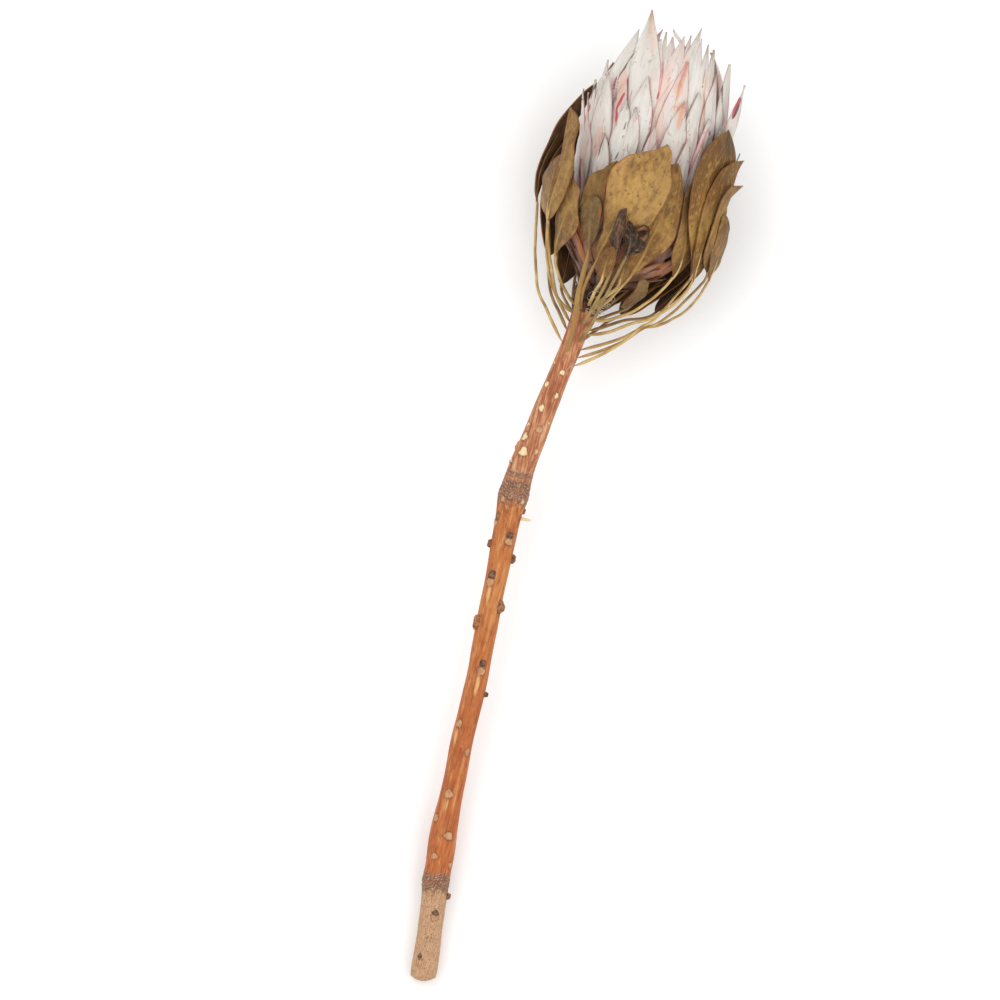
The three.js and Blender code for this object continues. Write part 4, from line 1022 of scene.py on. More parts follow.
scales = list(rule_scales())
for *ends, width, tone in LONG_SCALES:
    scales.append(scale(*seen_line(*ends), width, 1.7, tone))
scales = thickened(joined("base_scales_brown", scales), SCALE_THICKNESS)
scales.data.materials.append(scale_skin())
cone_place = turned_body(HEAD_RADIUS, 0.4, 23, 0.5, (0.03, 0.03))
cone = closed(sheet_of("cone", 32, 24, cone_place, evenly(0, 0.5, 0.3)))
cone.data.materials.append(scales.data.materials[0])
threads = closed(joined("fluff", [fluff_strand() for _ in range(FLUFF_COUNT)]), 0.005)
threads.data.materials.append(cotton())
scales = joined("base_scales_brown", [scales, cone, threads])
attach(scales, "root")
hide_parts("base_scales")

# The leaves: leathery blades on long bent stalks that all start on the stem below the head and
# wrap round it. The outer faces show, with a raised midrib, fine veins and a thin reddish rim.
LEAF_THICKNESS = 0.6
STALK_RADIUS = 0.78
RIB_SHARE = 0.3
# The radius of the layer that the leaves lie in, by place along the head.
LEAF_RADIUS = [
    (-34, 6), (-20, 7), (-10, 11), (0, 16), (10, 22), (20, 29), (30, 35.5), (45, 42), (60, 44.5),
    (75, 45), (90, 44), (105, 42), (120, 38),
]
# A drawn leaf has its midrib, with both ends, and between those its left and right margins, in
# plan; lift is its height above the layer at its base, middle and tip. A simpler one has base and
# tip: place along the head, angle, lift; mid: angle and lift halfway; width and where it is widest.
# Foot and bend of the stalk: place along, angle, and the bend's radius. Tone: 0 gold to 2 khaki.
# Where it is given, broad is how many times wider the stalk is, and straw is how brown it is.
LEAVES = [
    {"base": (34, 194, 8.5), "mid": (200, 5.5), "tip": (107, 214, -1), "width": 20, "widest": 0.5,
     "foot": (-24, 182), "bend": (3.5, 187, 31.2), "tone": 1.5},
    {"left": [(-29.2, 388), (-29.5, 394), (-29.6, 402), (-29.9, 412), (-30, 424), (-30.5, 434)],
     "rib": [(-28.3, 384), (-28.9, 390), (-29, 397), (-28.4, 404), (-27.8, 412), (-27.6, 424),
        (-28.7, 434), (-30.6, 441.3)],
     "right": [(-26.6, 386), (-25.2, 390), (-24, 395), (-23, 400), (-22.3, 406), (-22, 411),
        (-22.6, 416), (-23.8, 420.5), (-24.6, 424), (-24.9, 430), (-25.1, 434.5), (-27.3, 438.6)],
     "lift": (8, 6.4, 5), "foot": (-13.5, 168), "bend": (4, 160, 23.5), "tone": 1.6},
    {"left": [(-31.5, 388.5), (-33.8, 391), (-35.2, 394.5), (-36.1, 398.5), (-36.3, 402), (-35.9, 406),
        (-34.7, 410), (-33, 413.7), (-30.8, 416.8)],
     "rib": [(-29, 385.5), (-30.3, 392), (-31, 400), (-30.5, 408), (-29.3, 415), (-28, 419.5)],
     "right": [(-27.6, 389), (-26.8, 394), (-26.6, 402), (-26.6, 410), (-27.1, 416)],
     "lift": (4.4, 3.8, 2.8), "foot": (-8.5, 182), "bend": (4, 176, 24), "tone": 1.4},
    {"left": [(-22.3, 372.5), (-23.2, 377), (-23.9, 381), (-24.9, 385), (-25.2, 388), (-24.7, 392),
        (-23.7, 397), (-22.8, 402), (-22.1, 407)],
     "rib": [(-20.8, 368), (-21.3, 374), (-21, 382), (-20.4, 390), (-20.3, 398), (-21, 405),
        (-21.6, 411)],
     "right": [(-19.8, 371.5), (-17.6, 375), (-15.5, 378), (-13.8, 381), (-13, 384), (-13.1, 386.5),
        (-14.5, 390), (-15.7, 394), (-16.2, 398), (-16.4, 402), (-18.5, 404.6), (-20.5, 407)],
     "lift": (5, 4.4, 4.2), "foot": (-4.5, 150), "bend": (4, 150, 21), "tone": 1.7},
    {"left": [(-6.2, 376.5), (-8, 379.5), (-10, 383), (-12, 387), (-13.6, 391), (-14.4, 396),
        (-14.5, 402), (-14.1, 407), (-12.6, 411.5), (-10, 414), (-8, 414.9), (-6.3, 417.2),
        (-4, 419.4)],
     "rib": [(-5.2, 374), (-6, 380), (-7.5, 388), (-8.5, 396), (-8, 404), (-6.5, 411), (-4.2, 417),
        (-2, 420.6)],
     "right": [(-4.1, 377), (-3.3, 381), (-2.9, 386), (-2.1, 390), (-1.8, 394), (-2.5, 398),
        (-3.6, 402.5), (-4.2, 407), (-4, 412), (-3, 417)],
     "lift": (1.5, 0.3, 0.5), "foot": (-28.5, 98), "bend": (-5, 111, 13.5), "broad": 1.8, "tone": 1.5,
     "straw": 1.6},
    {"left": [(-1.6, 376), (-1.4, 380), (-0.9, 385), (-1, 389), (-2, 394), (-3.1, 400), (-4, 406),
        (-4.2, 411), (-3.7, 415.5), (-2, 419.3), (0.5, 422.3), (3.2, 425), (7.8, 427), (12, 429.2),
        (16.2, 430.9), (18.5, 432.8)],
     "rib": [(0.3, 372), (1.6, 378), (3.3, 385), (5.6, 393), (8, 400), (11, 406.5), (14.3, 413.5),
        (17.6, 420.5), (19.8, 427.5), (20.9, 434.3)],
     "right": [(2, 376), (4.2, 380), (9, 385), (16, 389.5), (21.5, 393.5), (23.5, 398.2), (25.3, 402.3),
        (26.3, 406.5), (27.1, 411), (27.4, 415.5), (26.2, 420), (24.6, 425), (24.4, 428.5),
        (23.4, 431.5)],
     "lift": (3.4, 2.8, 2.4), "foot": (-6, 110), "bend": (9, 102.5, 24.5), "tone": 0.15, "straw": 1.5},
    {"left": [(17.3, 370), (15, 375.5), (13, 380), (12, 386), (12.5, 394), (14, 403), (17, 412),
        (20.5, 419), (24.3, 424.7)],
     "rib": [(17.5, 365.5), (19.3, 370.5), (21.3, 377), (23.2, 385), (25.2, 393), (26.5, 401),
        (27.5, 410), (28.2, 419), (28, 426.3)],
     "right": [(20.3, 368), (23, 372.2), (26.5, 376.5), (29.8, 380.5), (32.6, 384), (34.4, 387.5),
        (35.2, 392), (35.2, 397), (34.7, 402), (34.1, 408), (33.5, 413), (32.6, 417.5), (31.2, 421),
        (29.6, 424.4)],
     "lift": (1.8, 0.8, 0.8), "foot": (-3, 44), "bend": (8, 60, 20), "tone": 0.95},
    {"left": [(7.4, 375), (6.4, 378), (4.4, 380.3), (3.2, 382.6), (3.7, 385.5), (4.2, 389), (4.4, 393),
        (5, 396), (6.6, 398)],
     "rib": [(8.2, 372), (8, 380), (7, 388), (7, 394), (8, 398.6)],
     "right": [(9, 375), (9.3, 380), (9.3, 385), (9.2, 389), (9, 393), (8.8, 396.5)],
     "lift": (6.4, 5.8, 5.8), "foot": (-13, 79), "bend": (2, 80, 21), "tone": 0.3},
    {"left": [(12.8, 378), (12, 381.5), (10.8, 384.5), (10.3, 388), (10.2, 391.5)],
     "rib": [(13.2, 374), (14, 378), (14, 383), (12.5, 388), (10.8, 393)],
     "right": [(15, 376.2), (18.6, 378.2), (21.3, 380.6), (22, 383), (21, 385.5), (18.5, 387.5),
        (15.5, 389.6), (13.5, 391.3), (11.9, 392.4)],
     "lift": (5.8, 5.2, 6.4), "foot": (-21, 54), "bend": (-3, 71, 19), "tone": 1.3},
    {"left": [(2, 364.3), (0.3, 367.3), (0.1, 370.5), (1, 374), (3, 376.9)],
     "rib": [(4.6, 361.5), (4.6, 367), (4.9, 373), (6.2, 378.6)],
     "right": [(7.2, 364.5), (8.7, 368), (9, 371.5), (8.5, 375), (7.6, 377.3)],
     "lift": (7.6, 8.6, 8.8), "foot": (-2.5, 84), "bend": (4, 88, 22), "tone": 1.05},
    {"left": [(11.3, 364.5), (10.2, 368.5), (10.4, 372.5), (11.5, 375.7)],
     "rib": [(13.4, 361.5), (13.7, 366), (13.9, 371), (13, 377.2)],
     "right": [(15.7, 364.3), (17.1, 367.3), (17.3, 370), (16.5, 373), (14.9, 375.7)],
     "lift": (3.6, 3.4, 3.2), "foot": (-6, 66), "bend": (2, 71, 16.5), "tone": 1},
    {"left": [(37.6, 375), (36.4, 379.5), (35.9, 384), (36, 389), (36, 395), (35.6, 401), (34.9, 407),
        (35, 411.5), (36.1, 416.5)],
     "rib": [(38.8, 371), (40.6, 376), (41.1, 382), (40.9, 388), (39.8, 395), (38.6, 403), (37.8, 412),
        (37.4, 421)],
     "right": [(41.5, 375), (44.3, 379.5), (45.2, 384), (44.2, 389), (41.9, 394), (40.6, 400),
        (39.6, 408), (38.7, 415)],
     "lift": (2.4, -0.4, -0.6), "foot": (-8, 18), "bend": (1, 20, 21), "tone": 1.1},
    {"left": [(46.8, 376), (46, 380), (45, 384), (43.8, 388), (42.4, 391.8), (41, 396), (39.8, 400),
        (38.8, 404.5), (38.1, 409), (37.6, 415), (37.5, 421), (37.8, 427), (38.8, 431.5), (40.1, 435.5),
        (41.6, 439.5), (43.2, 442.5), (45.2, 445)],
     "rib": [(47.2, 372), (46.9, 380), (46, 390), (45, 400), (44, 412), (44, 424), (45.6, 436),
        (48.7, 448.7)],
     "right": [(48.5, 376), (50.5, 382), (52, 390), (53, 400), (54, 410), (55, 420), (55.6, 428),
        (55.2, 434), (54.1, 438.8), (52.4, 442.8), (50.5, 446.2)],
     "lift": (5.6, 1.7, 0.8), "foot": (-33, 8), "bend": (-4, 8.5, 29.2), "tone": 1},
    {"left": [(48.4, 374), (47.6, 378), (47.2, 382.5), (46.6, 388), (45.9, 394), (45.4, 400),
        (45.4, 406), (45.8, 411.5), (46.4, 416.5), (47.4, 421), (48.9, 425.2), (50.5, 428.8),
        (52.6, 431.3), (55, 434), (57, 434.9)],
     "rib": [(48.6, 371), (49.2, 378), (49.6, 388), (50, 398), (50.6, 408), (52, 418), (55, 428),
        (59.5, 435.7)],
     "right": [(50.5, 375), (53, 382), (54.8, 390), (56, 400), (57, 410), (57.3, 417), (57, 423),
        (57.5, 428), (58.4, 432)],
     "lift": (9.3, 4, 4.2), "foot": (-16.5, 16), "bend": (4, 25, 34), "tone": 0.95},
    {"left": [(55.3, 375.5), (53.6, 379), (52.3, 382.5), (51.5, 387), (51.5, 393), (51.9, 399),
        (52.3, 405), (52.8, 410), (53.7, 414.5), (55, 418.3), (56.1, 420.8), (57.2, 422.4),
        (59.5, 422.9)],
     "rib": [(55.4, 372), (55.2, 380), (54.6, 388), (54.4, 398), (54.8, 408), (56.4, 416),
        (61.9, 423.4)],
     "right": [(56.5, 376), (57, 382), (57.2, 390), (57.2, 400), (57, 408), (56.6, 413.5), (58.2, 417),
        (60, 420.2)],
     "lift": (11.2, 6.9, 7.4), "foot": (-28.5, -8), "bend": (-2, 1.5, 31.6), "tone": 1.95},
    {"left": [(55.6, 377.5), (55, 382), (54.9, 388), (55.1, 395), (55.5, 401), (55.9, 405.5)],
     "rib": [(56.4, 373.5), (57.8, 380), (58.6, 388), (58.9, 396), (58.3, 402), (56.8, 407.4)],
     "right": [(57.6, 377.5), (58.8, 381), (59.9, 385), (60.7, 389.5), (61.2, 394), (61.3, 398),
        (60.9, 401.3), (59.9, 403.5), (58.6, 405.7)],
     "lift": (13.2, 8.4, 8.4), "foot": (-24.5, -26), "bend": (2, -13, 36.2), "tone": 1.3},
    {"base": (12, 218, 12), "mid": (213, 5), "tip": (88, 221, 0.8), "width": 27, "widest": 0.42,
     "foot": (-18, 205), "bend": (0, 211, 25), "tone": 1.2},
    {"base": (2, 226, 6), "mid": (233, 0.6), "tip": (76, 239, 0.4), "width": 24, "widest": 0.4,
     "foot": (-9, 226), "bend": (-4, 226, 15.5), "tone": 0.9},
    {"base": (20, 246, 7), "mid": (249, 3.8), "tip": (84, 247, 4), "width": 23, "widest": 0.5,
     "foot": (-12, 243), "bend": (3, 245, 23), "tone": 1.3},
    {"base": (16, 270, 1), "mid": (270, -2), "tip": (80, 270, -1.4), "width": 19, "widest": 0.5,
     "foot": (-7, 270), "bend": (4, 270, 17.5), "tone": 1},
    {"base": (20, 294, 6), "mid": (291, 3.8), "tip": (82, 293, 4), "width": 23, "widest": 0.5,
     "foot": (-16, 290), "bend": (2, 292, 23), "tone": 1.4},
    {"base": (13, 306, 1.6), "mid": (306, 0.6), "tip": (74, 302, 0.8), "width": 22, "widest": 0.5,
     "foot": (-3.5, 312), "bend": (4, 309, 17), "tone": 0.8},
    {"base": (0, 312, 11), "mid": (324, 4.4), "tip": (78, 326, 2.8), "width": 26, "widest": 0.4,
     "foot": (-20, 318), "bend": (-8, 314, 16.5), "tone": 1.2},
    {"base": (3, 300, 5), "mid": (302, 4.1), "tip": (23, 301, 3.9), "width": 7, "widest": 0.5,
     "foot": (-8.5, 302), "bend": (-3, 301, 14.5), "tone": 1.5},
    {"base": (17, 326, 2.4), "mid": (327, 2.2), "tip": (33, 327, 2), "width": 7, "widest": 0.5,
     "foot": (-9, 340), "bend": (4, 330, 21), "tone": 1},
    {"base": (9, 340, 13.2), "mid": (341, 5.6), "tip": (67, 342, 1.5), "width": 24, "widest": 0.42,
     "foot": (-14, 342), "bend": (-1, 341, 24), "tone": 1.3},
]
# Leaves by number: the shrivelled ones and the dark ones; then the one with a curled end, the one
# with a folded lower half and the one with a turned edge, and the numbers of that half and edge.
BURNT = (8, 9)
DARK = (5, *range(17, 27))
CURLED = 9
FOLDED = 5
TURNED = 26
FOLDED_HALF = 27
TURNED_EDGE = 28
# Places on a blade, by leaf number: across -1 to 1, along 0 to 1, reach across, along, strength.
# Dark places: partly the leaves' own darker patches and tips, partly painted shade, as on leaf 12, which
# lies in the shade of its neighbours.
DARK_AND_SHADED_PLACES = {
    2: [(1, 0.75, 0.25, 0.3, 0.5)], 3: [(-0.9, 0.6, 0.2, 0.2, 0.4), (0, 0.4, 2, 0.5, 0.15)],
    4: [(-0.2, 0.97, 0.6, 0.06, 0.6)], 11: [(0, 0.5, 2, 1, 0.5)], 16: [(0.3, 0.85, 1.5, 0.2, 0.35)],
    6: [(-0.9, 0.35, 0.15, 0.2, 0.4), (0.6, 0.9, 0.3, 0.05, 0.4), (0.6, 0.65, 0.4, 0.25, 0.22),
        (0.25, 0.6, 0.06, 0.4, 0.25)],
    7: [(0, 0.96, 0.35, 0.03, 1), (0.2, 0.3, 0.08, 0.3, 0.3), (0.95, 0.8, 0.15, 0.06, 0.8),
        (-0.15, 0.75, 0.12, 0.1, 0.5)],
    12: [(0.2, 0.75, 1.3, 0.25, 0.95), (0, 0.2, 2, 0.4, 0.2)],
    13: [(0.5, 0.93, 0.9, 0.12, 0.85), (0, 1, 1, 0.04, 0.8)],
    14: [(-0.8, 0.5, 0.3, 0.3, 0.3), (0, 0.5, 2, 1, 0.15)],
    FOLDED_HALF: [(0, 0.5, 2, 1, 0.22)], TURNED_EDGE: [(0, 0.5, 2, 1, 0.2)],
}
RED_PLACES = {7: [(0.7, 0.35, 0.3, 0.05, 0.5)], FOLDED_HALF: [(0.95, 0.72, 0.35, 0.2, 1)]}
# Blades whose reddish rim is faint.
FAINT_RIMS = (16, FOLDED_HALF, TURNED_EDGE)
# A broad reddish strip on a margin: which side, its breadth, and where it ends.
RED_STRIPS = {1: (1, 2.6, 0.6)}
# The torn end of a shrivelled leaf: place in plan and height.
CURL = (18.9, 388.8, 84.4)
# The rolled-over lower half of a leaf, drawn in plan like the leaves.
FLAP = {
    "left": [(-8, 379), (-11, 383.5), (-13.2, 388), (-13.8, 393), (-12.8, 397.5), (-10.5, 400.5)],
    "rib": [(-5.2, 375), (-6.5, 381), (-8, 389), (-8.7, 396), (-8.5, 401.6)],
    "right": [(-3.9, 378), (-3.1, 383), (-2.9, 388), (-3.4, 394), (-4.6, 398.5), (-6.5, 400.8)],
    "lift": (2.2, 1.5, 2.1), "tone": 1.6,
}
# The edge of a leaf below the head that is turned up, so that its outer face shows.
UPTURNED = {
    "left": [(18.4, 354), (20.6, 358), (22, 361.5), (22.8, 364.8), (23.6, 366.4)],
    "rib": [(17, 350.5), (20.8, 353), (23.4, 357), (24.8, 361.5), (25.2, 366.8)],
    "right": [(21.5, 350.6), (25, 352.8), (27, 356.5), (27.7, 360.5), (27.8, 364), (27.3, 365.9)],
    "lift": (0, 0, 0), "tone": 0.9,
}


def through(start, middle, end, t):
    """A smooth run from start at 0 over middle halfway to end at 1."""
    return start * (1 - t) * (1 - 2 * t) + middle * 4 * t * (1 - t) + end * t * (2 * t - 1)


def leaf_layer(leaf, t):
    """How far along the head a row of the blade lies, and its radius."""
    first, last = leaf["ends"]
    along = first + (last - first) * t
    return along, curve(LEAF_RADIUS, along) + through(*leaf["lift"], t)


def laid_out(leaf):
    """Finds once where the ends and the drawn lines of a leaf lie on the head."""
    if "rib" not in leaf:
        leaf["ends"] = (leaf["base"][0], leaf["tip"][0])
        leaf["lift"] = (leaf["base"][2], leaf["mid"][1], leaf["tip"][2])
        return leaf
    base, *_, tip = leaf["rib"]
    first, last = leaf["ends"] = [head_place(*end)[0] for end in (base, tip)]
    leaf["lines"] = []
    for places in ([base, *leaf["left"], tip], leaf["rib"], [base, *leaf["right"], tip]):
        points = []
        for x, y in places:
            here, side = head_place(x, y)
            radius = leaf_layer(leaf, (here - first) / (last - first))[1]
            points.append((here, float(angle_for(side, radius))))
        leaf["lines"].append(points)
    return leaf


def leaf_angles(leaf, t):
    """The angles of the left margin, the rib and the right margin."""
    along, radius = leaf_layer(leaf, t)
    least = np.degrees((0.9 - 0.7 * t) / radius)
    if "lines" in leaf:
        left, middle, right = [curve(points, along) for points in leaf["lines"]]
        return np.maximum(left, middle + least), middle, np.minimum(right, middle - least)
    skew = math.log(0.5) / math.log(leaf["widest"])
    swell = np.maximum(0, np.sin(np.pi * np.clip(t, 0, 1) ** skew)) ** 0.72
    half = np.maximum(np.degrees(leaf["width"] / 2 * swell / radius), least)
    middle = through(leaf["base"][1], leaf["mid"][0], leaf["tip"][1], t)
    return middle + half, middle, middle - half


def midline(leaf, t):
    """The middle of a leaf's blade: place along the head, angle, radius."""
    along, radius = leaf_layer(leaf, t)
    return along, leaf_angles(leaf, t)[1], radius


def spots(places, s, t):
    """A mask with soft spots at the places, for a blade."""
    mask = np.zeros(len(s))
    for across, along, reach_across, reach_along, strength in places:
        gap = ((s - across) / reach_across) ** 2 + ((t - along) / reach_along) ** 2
        mask = np.maximum(mask, strength * np.exp(-gap))
    return mask


def leaf_blade(leaf, number):
    """The blade: it waves a little and the midrib stands out on the outer face."""
    wave = random.Random(number)
    phases = [wave.uniform(0, ONE_TURN) for _ in range(4)]
    # Few places on the drawn midrib mean a small leaf, which waves less.
    small = len(leaf.get("rib", range(9))) < 6

    def across(s, t):
        left, middle, right = leaf_angles(leaf, t)
        turn = np.where(s < 0, (left - middle) * -s, (right - middle) * s)
        half = np.radians(np.where(s < 0, left - middle, middle - right)) * leaf_layer(leaf, t)[1]
        return middle + turn, half

    def eased(t):
        return 0.5 * t + 0.25 * (1 - np.cos(np.pi * t))

    def place(s, t):
        t = eased(t)
        along, radius = leaf_layer(leaf, t)
        degrees, half = across(s, t)
        ruffle = 0.35 * s**2 * np.sin(10 * t + phases[2] + 2 * s)
        ruffle = ruffle + 0.2 * np.abs(s) ** 3 * np.sin(19 * t + phases[3])
        ruffle = ruffle + 0.35 * np.sin(6 * t + phases[1]) * np.sin(2.6 * s + phases[0])
        edge = np.sign(s) * 0.12 * s**2 * np.sin(31 * t + phases[0]) * np.sin(13 * t + phases[1])
        rib = 0.4 * (1 - t) * np.exp(-((s * half / 0.8) ** 2))
        lift = radius + rib + ruffle * (0.4 if small else 1)
        if number in BURNT:
            crumple = np.sin(6 * s + 17 * t + phases[0]) * np.sin(5 * s - 23 * t + phases[1])
            lift = lift + 0.5 * crumple + 0.25 * np.sin(14 * s + 9 * t) * np.sin(41 * t + 5 * s)
        point = at(along, degrees - np.degrees(edge / radius), lift)
        point[:, 2] = np.maximum(point[:, 2], LEAF_THICKNESS / 2)
        return point

    def marks(s, t):
        t = eased(t)
        half = across(s, t)[1]
        rib = np.exp(-((s * half / (0.9 - 0.4 * t)) ** 2))
        rim = np.exp(-((1 - np.abs(s)) * half / 0.35)) * (0.3 if number in FAINT_RIMS else 1)
        if number in RED_STRIPS:
            side, breadth, end = RED_STRIPS[number]
            strip = np.exp(-((1 - s * side) * half / breadth)) * np.clip((end - t) * 6, 0, 1)
            rim = np.maximum(rim, strip)
        rim = np.maximum(rim, spots(RED_PLACES.get(number, []), s, t))
        # Darker places on the blade: own dark patches and painted shade.
        dark = spots(DARK_AND_SHADED_PLACES.get(number, []), s, t)
        return rib, rim, np.full(len(s), leaf["tone"]), dark

    return sheet_of("blade", 12 if small else 24, 26 if small else 64, place, marks)


def unit(vectors):
    """The same directions with length 1."""
    return vectors / np.linalg.norm(vectors, axis=1, keepdims=True)


def leaf_stalk(leaf):
    """The stalk leaves the stem on a slight foot, bends out, and runs on as the midrib."""
    foot_along, foot_angle = leaf["foot"]
    stem_radius = float(curve(STEM_WIDTH, HEAD_START + foot_along)) / 2
    foot = np.array([foot_along, foot_angle, stem_radius - 0.5])
    bend = np.array(leaf["bend"], float)
    base, ahead = [np.array([float(v) for v in midline(leaf, t)]) for t in (0, 0.1)]
    # How steeply it runs: at the bend, at its foot, and where it meets the blade.
    at_bend = (base - foot) / 2
    at_foot = 2 * (bend - foot) - at_bend
    at_blade = (ahead - base) / (ahead[0] - base[0]) * (base[0] - bend[0])

    def on_rib(t):
        """0 on the stalk itself, then up to 1 on the part that runs on as the midrib."""
        return np.clip((t - (1 - RIB_SHARE)) / RIB_SHARE, 0, 1)

    def middle(t):
        t = t[:, None]
        k = np.clip(t / (1 - RIB_SHARE), 0, 1)
        lower = hermite(foot, at_foot, bend, at_bend, np.clip(2 * k, 0, 1))
        upper = hermite(bend, at_bend, base, at_blade, np.clip(2 * k - 1, 0, 1))
        on = on_rib(t[:, 0]) * 0.6
        risen = np.stack(midline(leaf, on), axis=-1) + (0, 0, 0.25) - (0, 0, 0.9) * on[:, None]
        return np.where(t > 1 - RIB_SHARE, risen, np.where(k < 0.5, lower, upper))

    def centre(t):
        return at(*middle(t).T)

    def place(s, t):
        forward = unit(centre(np.clip(t + 0.01, 0, 1)) - centre(np.clip(t - 0.01, 0, 1)))
        along, degrees, _ = middle(t).T
        sideways = at(along, degrees + 90, 1) - at(along, degrees, 0)
        sideways = unit(sideways - forward * np.sum(sideways * forward, axis=1, keepdims=True))
        upward = np.cross(sideways, forward)
        swell = 1.15 + 0.5 * np.exp(-t / 0.05) - 0.2 * np.clip(t / (1 - RIB_SHARE), 0, 1)
        radius = STALK_RADIUS * swell * (1 - on_rib(t) * 0.8) * tapered(t, 0.06, 0.01) ** 0.7
        broadened = np.clip((1 - RIB_SHARE - t) / 0.1, 0, 1) * np.clip(t / 0.4, 0.3, 1)
        breadth = 1 + (leaf.get("broad", 1) - 1) * broadened[:, None]
        turn = (s * math.pi)[:, None]
        around = np.cos(turn) * sideways * breadth + 0.9 * np.sin(turn) * upward
        point = centre(t) + radius[:, None] * around
        point[:, 2] = np.maximum(point[:, 2], 0)
        return point

    def marks(s, t):
        return 0.8, np.exp(-t / 0.02), leaf.get("straw", leaf["tone"] / 2)

    return closed(sheet_of("stalk", 10, 64, place, marks), 0.01)


def leaf_skin(name, gold, brown, khaki, dark, rim_colour, rib_colour, relief=0.0006):
    """Leathery skin: cloudy, with dark specks, side veins and a fine net between them."""
    skin = Finish(name, Specular_IOR_Level=0.3)
    across, along, _ = skin.split(skin.sheet())
    rib, rim, tone, stain_and_shade = skin.marks()
    broad = skin.noise(skin.place(38, 24, 38))
    cloud = skin.noise(skin.place(75, 50, 75), 4)
    blots = skin.noise(skin.place(150, 95, 150), 6, 0.7)
    patches = skin.noise(skin.place(420, 260, 420), 5, 0.6)
    streaks = skin.noise(skin.sheet(15, 1.6, 1), 5, 0.65)
    grain = skin.noise(skin.place(1300, 1300, 1300))

    def cells(scale, feature="F1"):
        """How far a point is from the middle of its cell, or from the cell's edge."""
        sockets = {"Vector": skin.place(scale, scale, scale), "Scale": 1}
        return skin.node("TexVoronoi", {"feature": feature}, sockets)

    from_rib = abs(across - 0.5) * 2
    veins = along * 9 - from_rib * 5.5 + (patches - 0.5) * 0.9
    veins = abs(veins.wrapped() - 0.5).ramp(0.07, 0) * from_rib.ramp(1, 0.6)
    net = cells(520, "DISTANCE_TO_EDGE").ramp(0.12, 0)
    dots = (cells(230) + (grain - 0.5) * 0.14).ramp(0.18, 0.1) * patches.ramp(0.3, 0.44)
    flecks = (cells(470) + (grain - 0.5) * 0.2).ramp(0.24, 0.12) * cloud.ramp(0.4, 0.6)
    palette = tone + (cloud - 0.5) * 1.6 + (patches - 0.5) * 0.8
    colour = skin.coats(
        gold,
        (palette, brown),
        (palette - 1, khaki),
        (broad.ramp(0.48, 0.64) * 0.45, dark),
        (broad.ramp(0.46, 0.32) * 0.5, rib_colour),
        (blots.ramp(0.48, 0.66) * 0.5, dark),
        (patches.ramp(0.5, 0.64) * 0.4, dark),
        (patches.ramp(0.48, 0.34) * 0.4, rib_colour),
        (streaks.ramp(0.52, 0.68) * 0.35, rib_colour),
        (streaks.ramp(0.47, 0.31) * 0.5, dark),
        (net * 0.12, rib_colour),
        (veins * 0.5, rib_colour),
        (blots.ramp(0.62, 0.74) * 0.4, "6b4a2c"),
        # Darker where painted: partly the leaf's own dark patches, partly painted shade.
        (stain_and_shade * (0.6 + streaks * 0.5), "40301f"),
        (flecks * 0.45, "5a4030"),
        (dots * 0.6, "553c2b"),
        (rim.ramp(0.35, 0.9) * (0.15 + patches), rim_colour),
        (rib.ramp(0.35, 0.9) * along.ramp(0.9, 0.2) * 0.5, rib_colour),
    )
    height = grain * 0.15 + patches * 0.25 + veins * 0.2 + net * 0.1 + streaks * 0.3
    return skin.finish(colour, 0.5 + patches * 0.25, height, relief)


def inner_skin(name, light, dark):
    """The face turned to the flower, dull and dark, the dark partly painted shade of a face that lies in
    the flower's shadow, with a paler margin.
    """
    skin = Finish(name, Specular_IOR_Level=0.25)
    _, rim, _, stain_and_shade = skin.marks()
    cloud = skin.noise(skin.place(170, 90, 170), 4)
    lines = skin.noise(skin.sheet(14, 2, 1), 4)
    colour = skin.coats(
        # The dark base colour is partly painted shade.
        dark,
        ((cloud * 0.6 + lines * 0.4).ramp(0.4, 0.65), light),
        (rim.ramp(0.4, 0.7) * 0.8, "92734c"),
        # Darker where painted: partly the leaf's own dark patches, partly painted shade.
        (stain_and_shade * 0.85, "2c1d17"),
    )
    return skin.finish(colour, 0.75, lines, 0.0004)


def stalk_skin(name, light, dark):
    """Smooth straw-coloured skin with fine lengthwise lines, browner at the foot."""
    skin = Finish(name, Specular_IOR_Level=0.45)
    _, foot, tone, _ = skin.marks()
    lines = skin.noise(skin.sheet(7, 5, 1), 4)
    cloud = skin.noise(skin.place(120, 120, 120))
    colour = skin.coats(
        light,
        ((cloud + tone * 0.3).ramp(0.45, 0.95), dark),
        (lines.ramp(0.5, 0.7) * 0.4, dark),
        (foot.ramp(0.4, 0.9) * 0.4, "9a6a44"),
    )
    return skin.finish(colour, 0.5, lines, 0.0004)


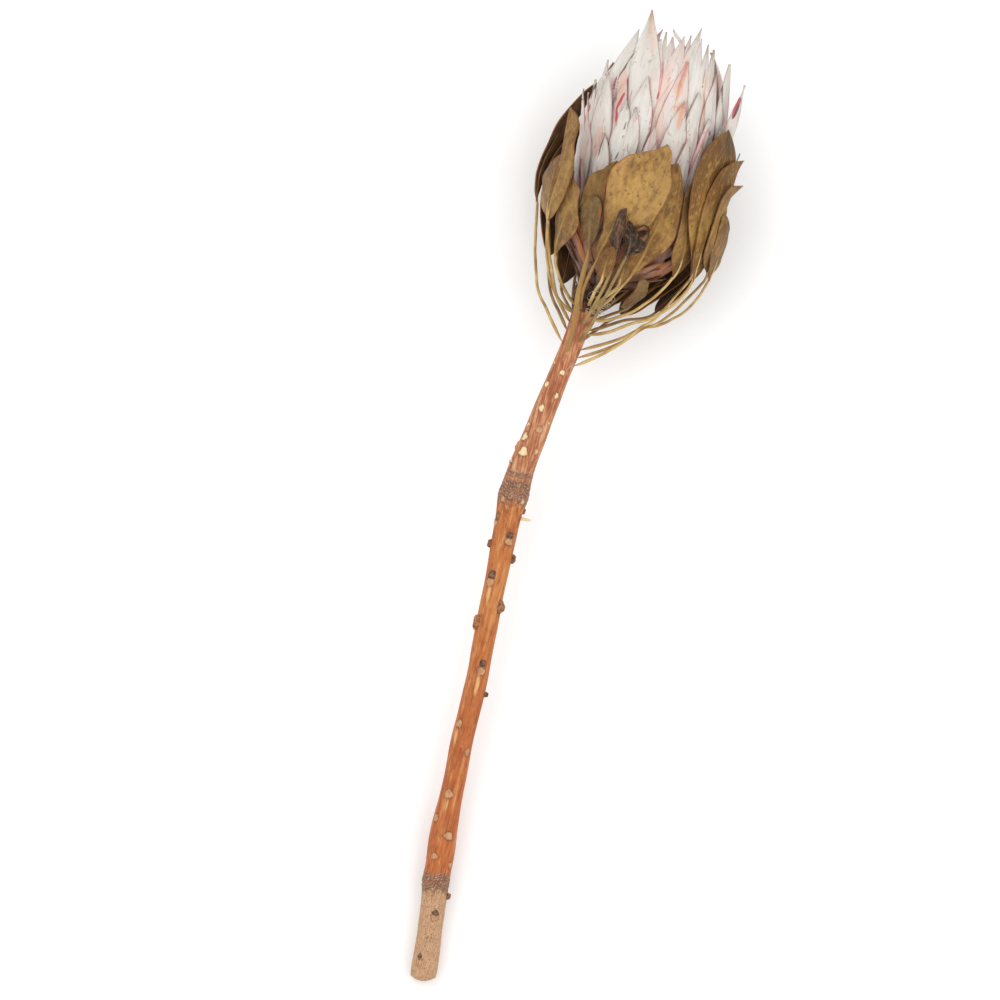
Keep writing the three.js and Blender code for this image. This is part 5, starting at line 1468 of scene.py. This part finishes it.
leaf_finishes = {
    "leaf": (
        leaf_skin("leaf_skin", "a98049", "784c16", "85643d", "4e3515", "874d27", "bb9450"),
        inner_skin("leaf_inner", "765634", "48311d"),
        stalk_skin("leaf_stalk", "d3b474", "9a7439"),
    ),
    "leaf_dark": (
        leaf_skin("leaf_dark_skin", "8f6f42", "7a511d", "856c42", "402d17", "9c5630", "9a7c4a"),
        inner_skin("leaf_dark_inner", "70502e", "432f1d"),
        stalk_skin("leaf_dark_stalk", "b08d56", "74522e"),
    ),
    "leaf_burnt": (
        leaf_skin("leaf_burnt_skin", "6e503d", "33241a", "281d16", "100a07", "5c3c2e", "a8866a", 0.003),
        inner_skin("leaf_burnt_inner", "c08a5e", "70442e"),
        stalk_skin("leaf_burnt_stalk", "a98c50", "6b4f2e"),
    ),
}


def curled_end():
    """The shrivelled leaf's torn strip, rolled into a funnel that opens upward."""

    def place(s, t):
        turn = math.radians(215) - 5.9 * t
        rise = (s + 1) / 2
        ragged = 0.09 * np.sin(6 * t + 1) + 0.07 * np.sin(17 * t) + 0.04 * np.sin(37 * t + 2)
        radius = 0.1 + (0.8 - 0.22 * t + ragged) * rise**0.8
        x = CURL[0] + 0.5 * rise + 4.3 * radius * np.cos(turn)
        y = CURL[1] - 0.5 * rise + 5.1 * radius * np.sin(turn)
        z = CURL[2] + (4.8 - 2 * t) * rise + 0.8 * np.sin(8 * t) * rise
        return in_plan(x, y, z)

    def marks(s, t):
        # The fourth number darkens the curl: at its narrow bottom as painted shade in the hollow, and along
        # its rim and in bands.
        shade = np.exp(-((1 + s) / 0.8) ** 3) + np.exp(-(1 - s) / 0.25) + 0.6 * np.sin(7 * t + 1) ** 4
        return 0, 0, 0.5, np.clip(shade, 0, 1)

    return sheet_of("curl", 12, 80, place, marks)


for number, leaf in enumerate(LEAVES, 1):
    kind = "leaf_burnt" if number in BURNT else "leaf_dark" if number in DARK else "leaf"
    outer, inner, straw = leaf_finishes[kind]
    sheets = [leaf_blade(laid_out(leaf), number)]
    if number == CURLED:
        sheets.append(curled_end())
    if number == FOLDED:
        sheets.append(leaf_blade(laid_out(FLAP), FOLDED_HALF))
        straw = leaf_finishes["leaf"][2]
    if number == TURNED:
        sheets.append(leaf_blade(laid_out(UPTURNED), TURNED_EDGE))
    for sheet in sheets:
        sheet.data.materials.append(outer)
        sheet.data.materials.append(inner)
        thickened(sheet, LEAF_THICKNESS, inside=1)
    stalk = leaf_stalk(leaf)
    stalk.data.materials.append(straw)
    node = f"leaf_{number:02d}"
    whole = joined(node + "_skin", [*sheets, stalk])
    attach(whole, "root")
    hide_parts(node)
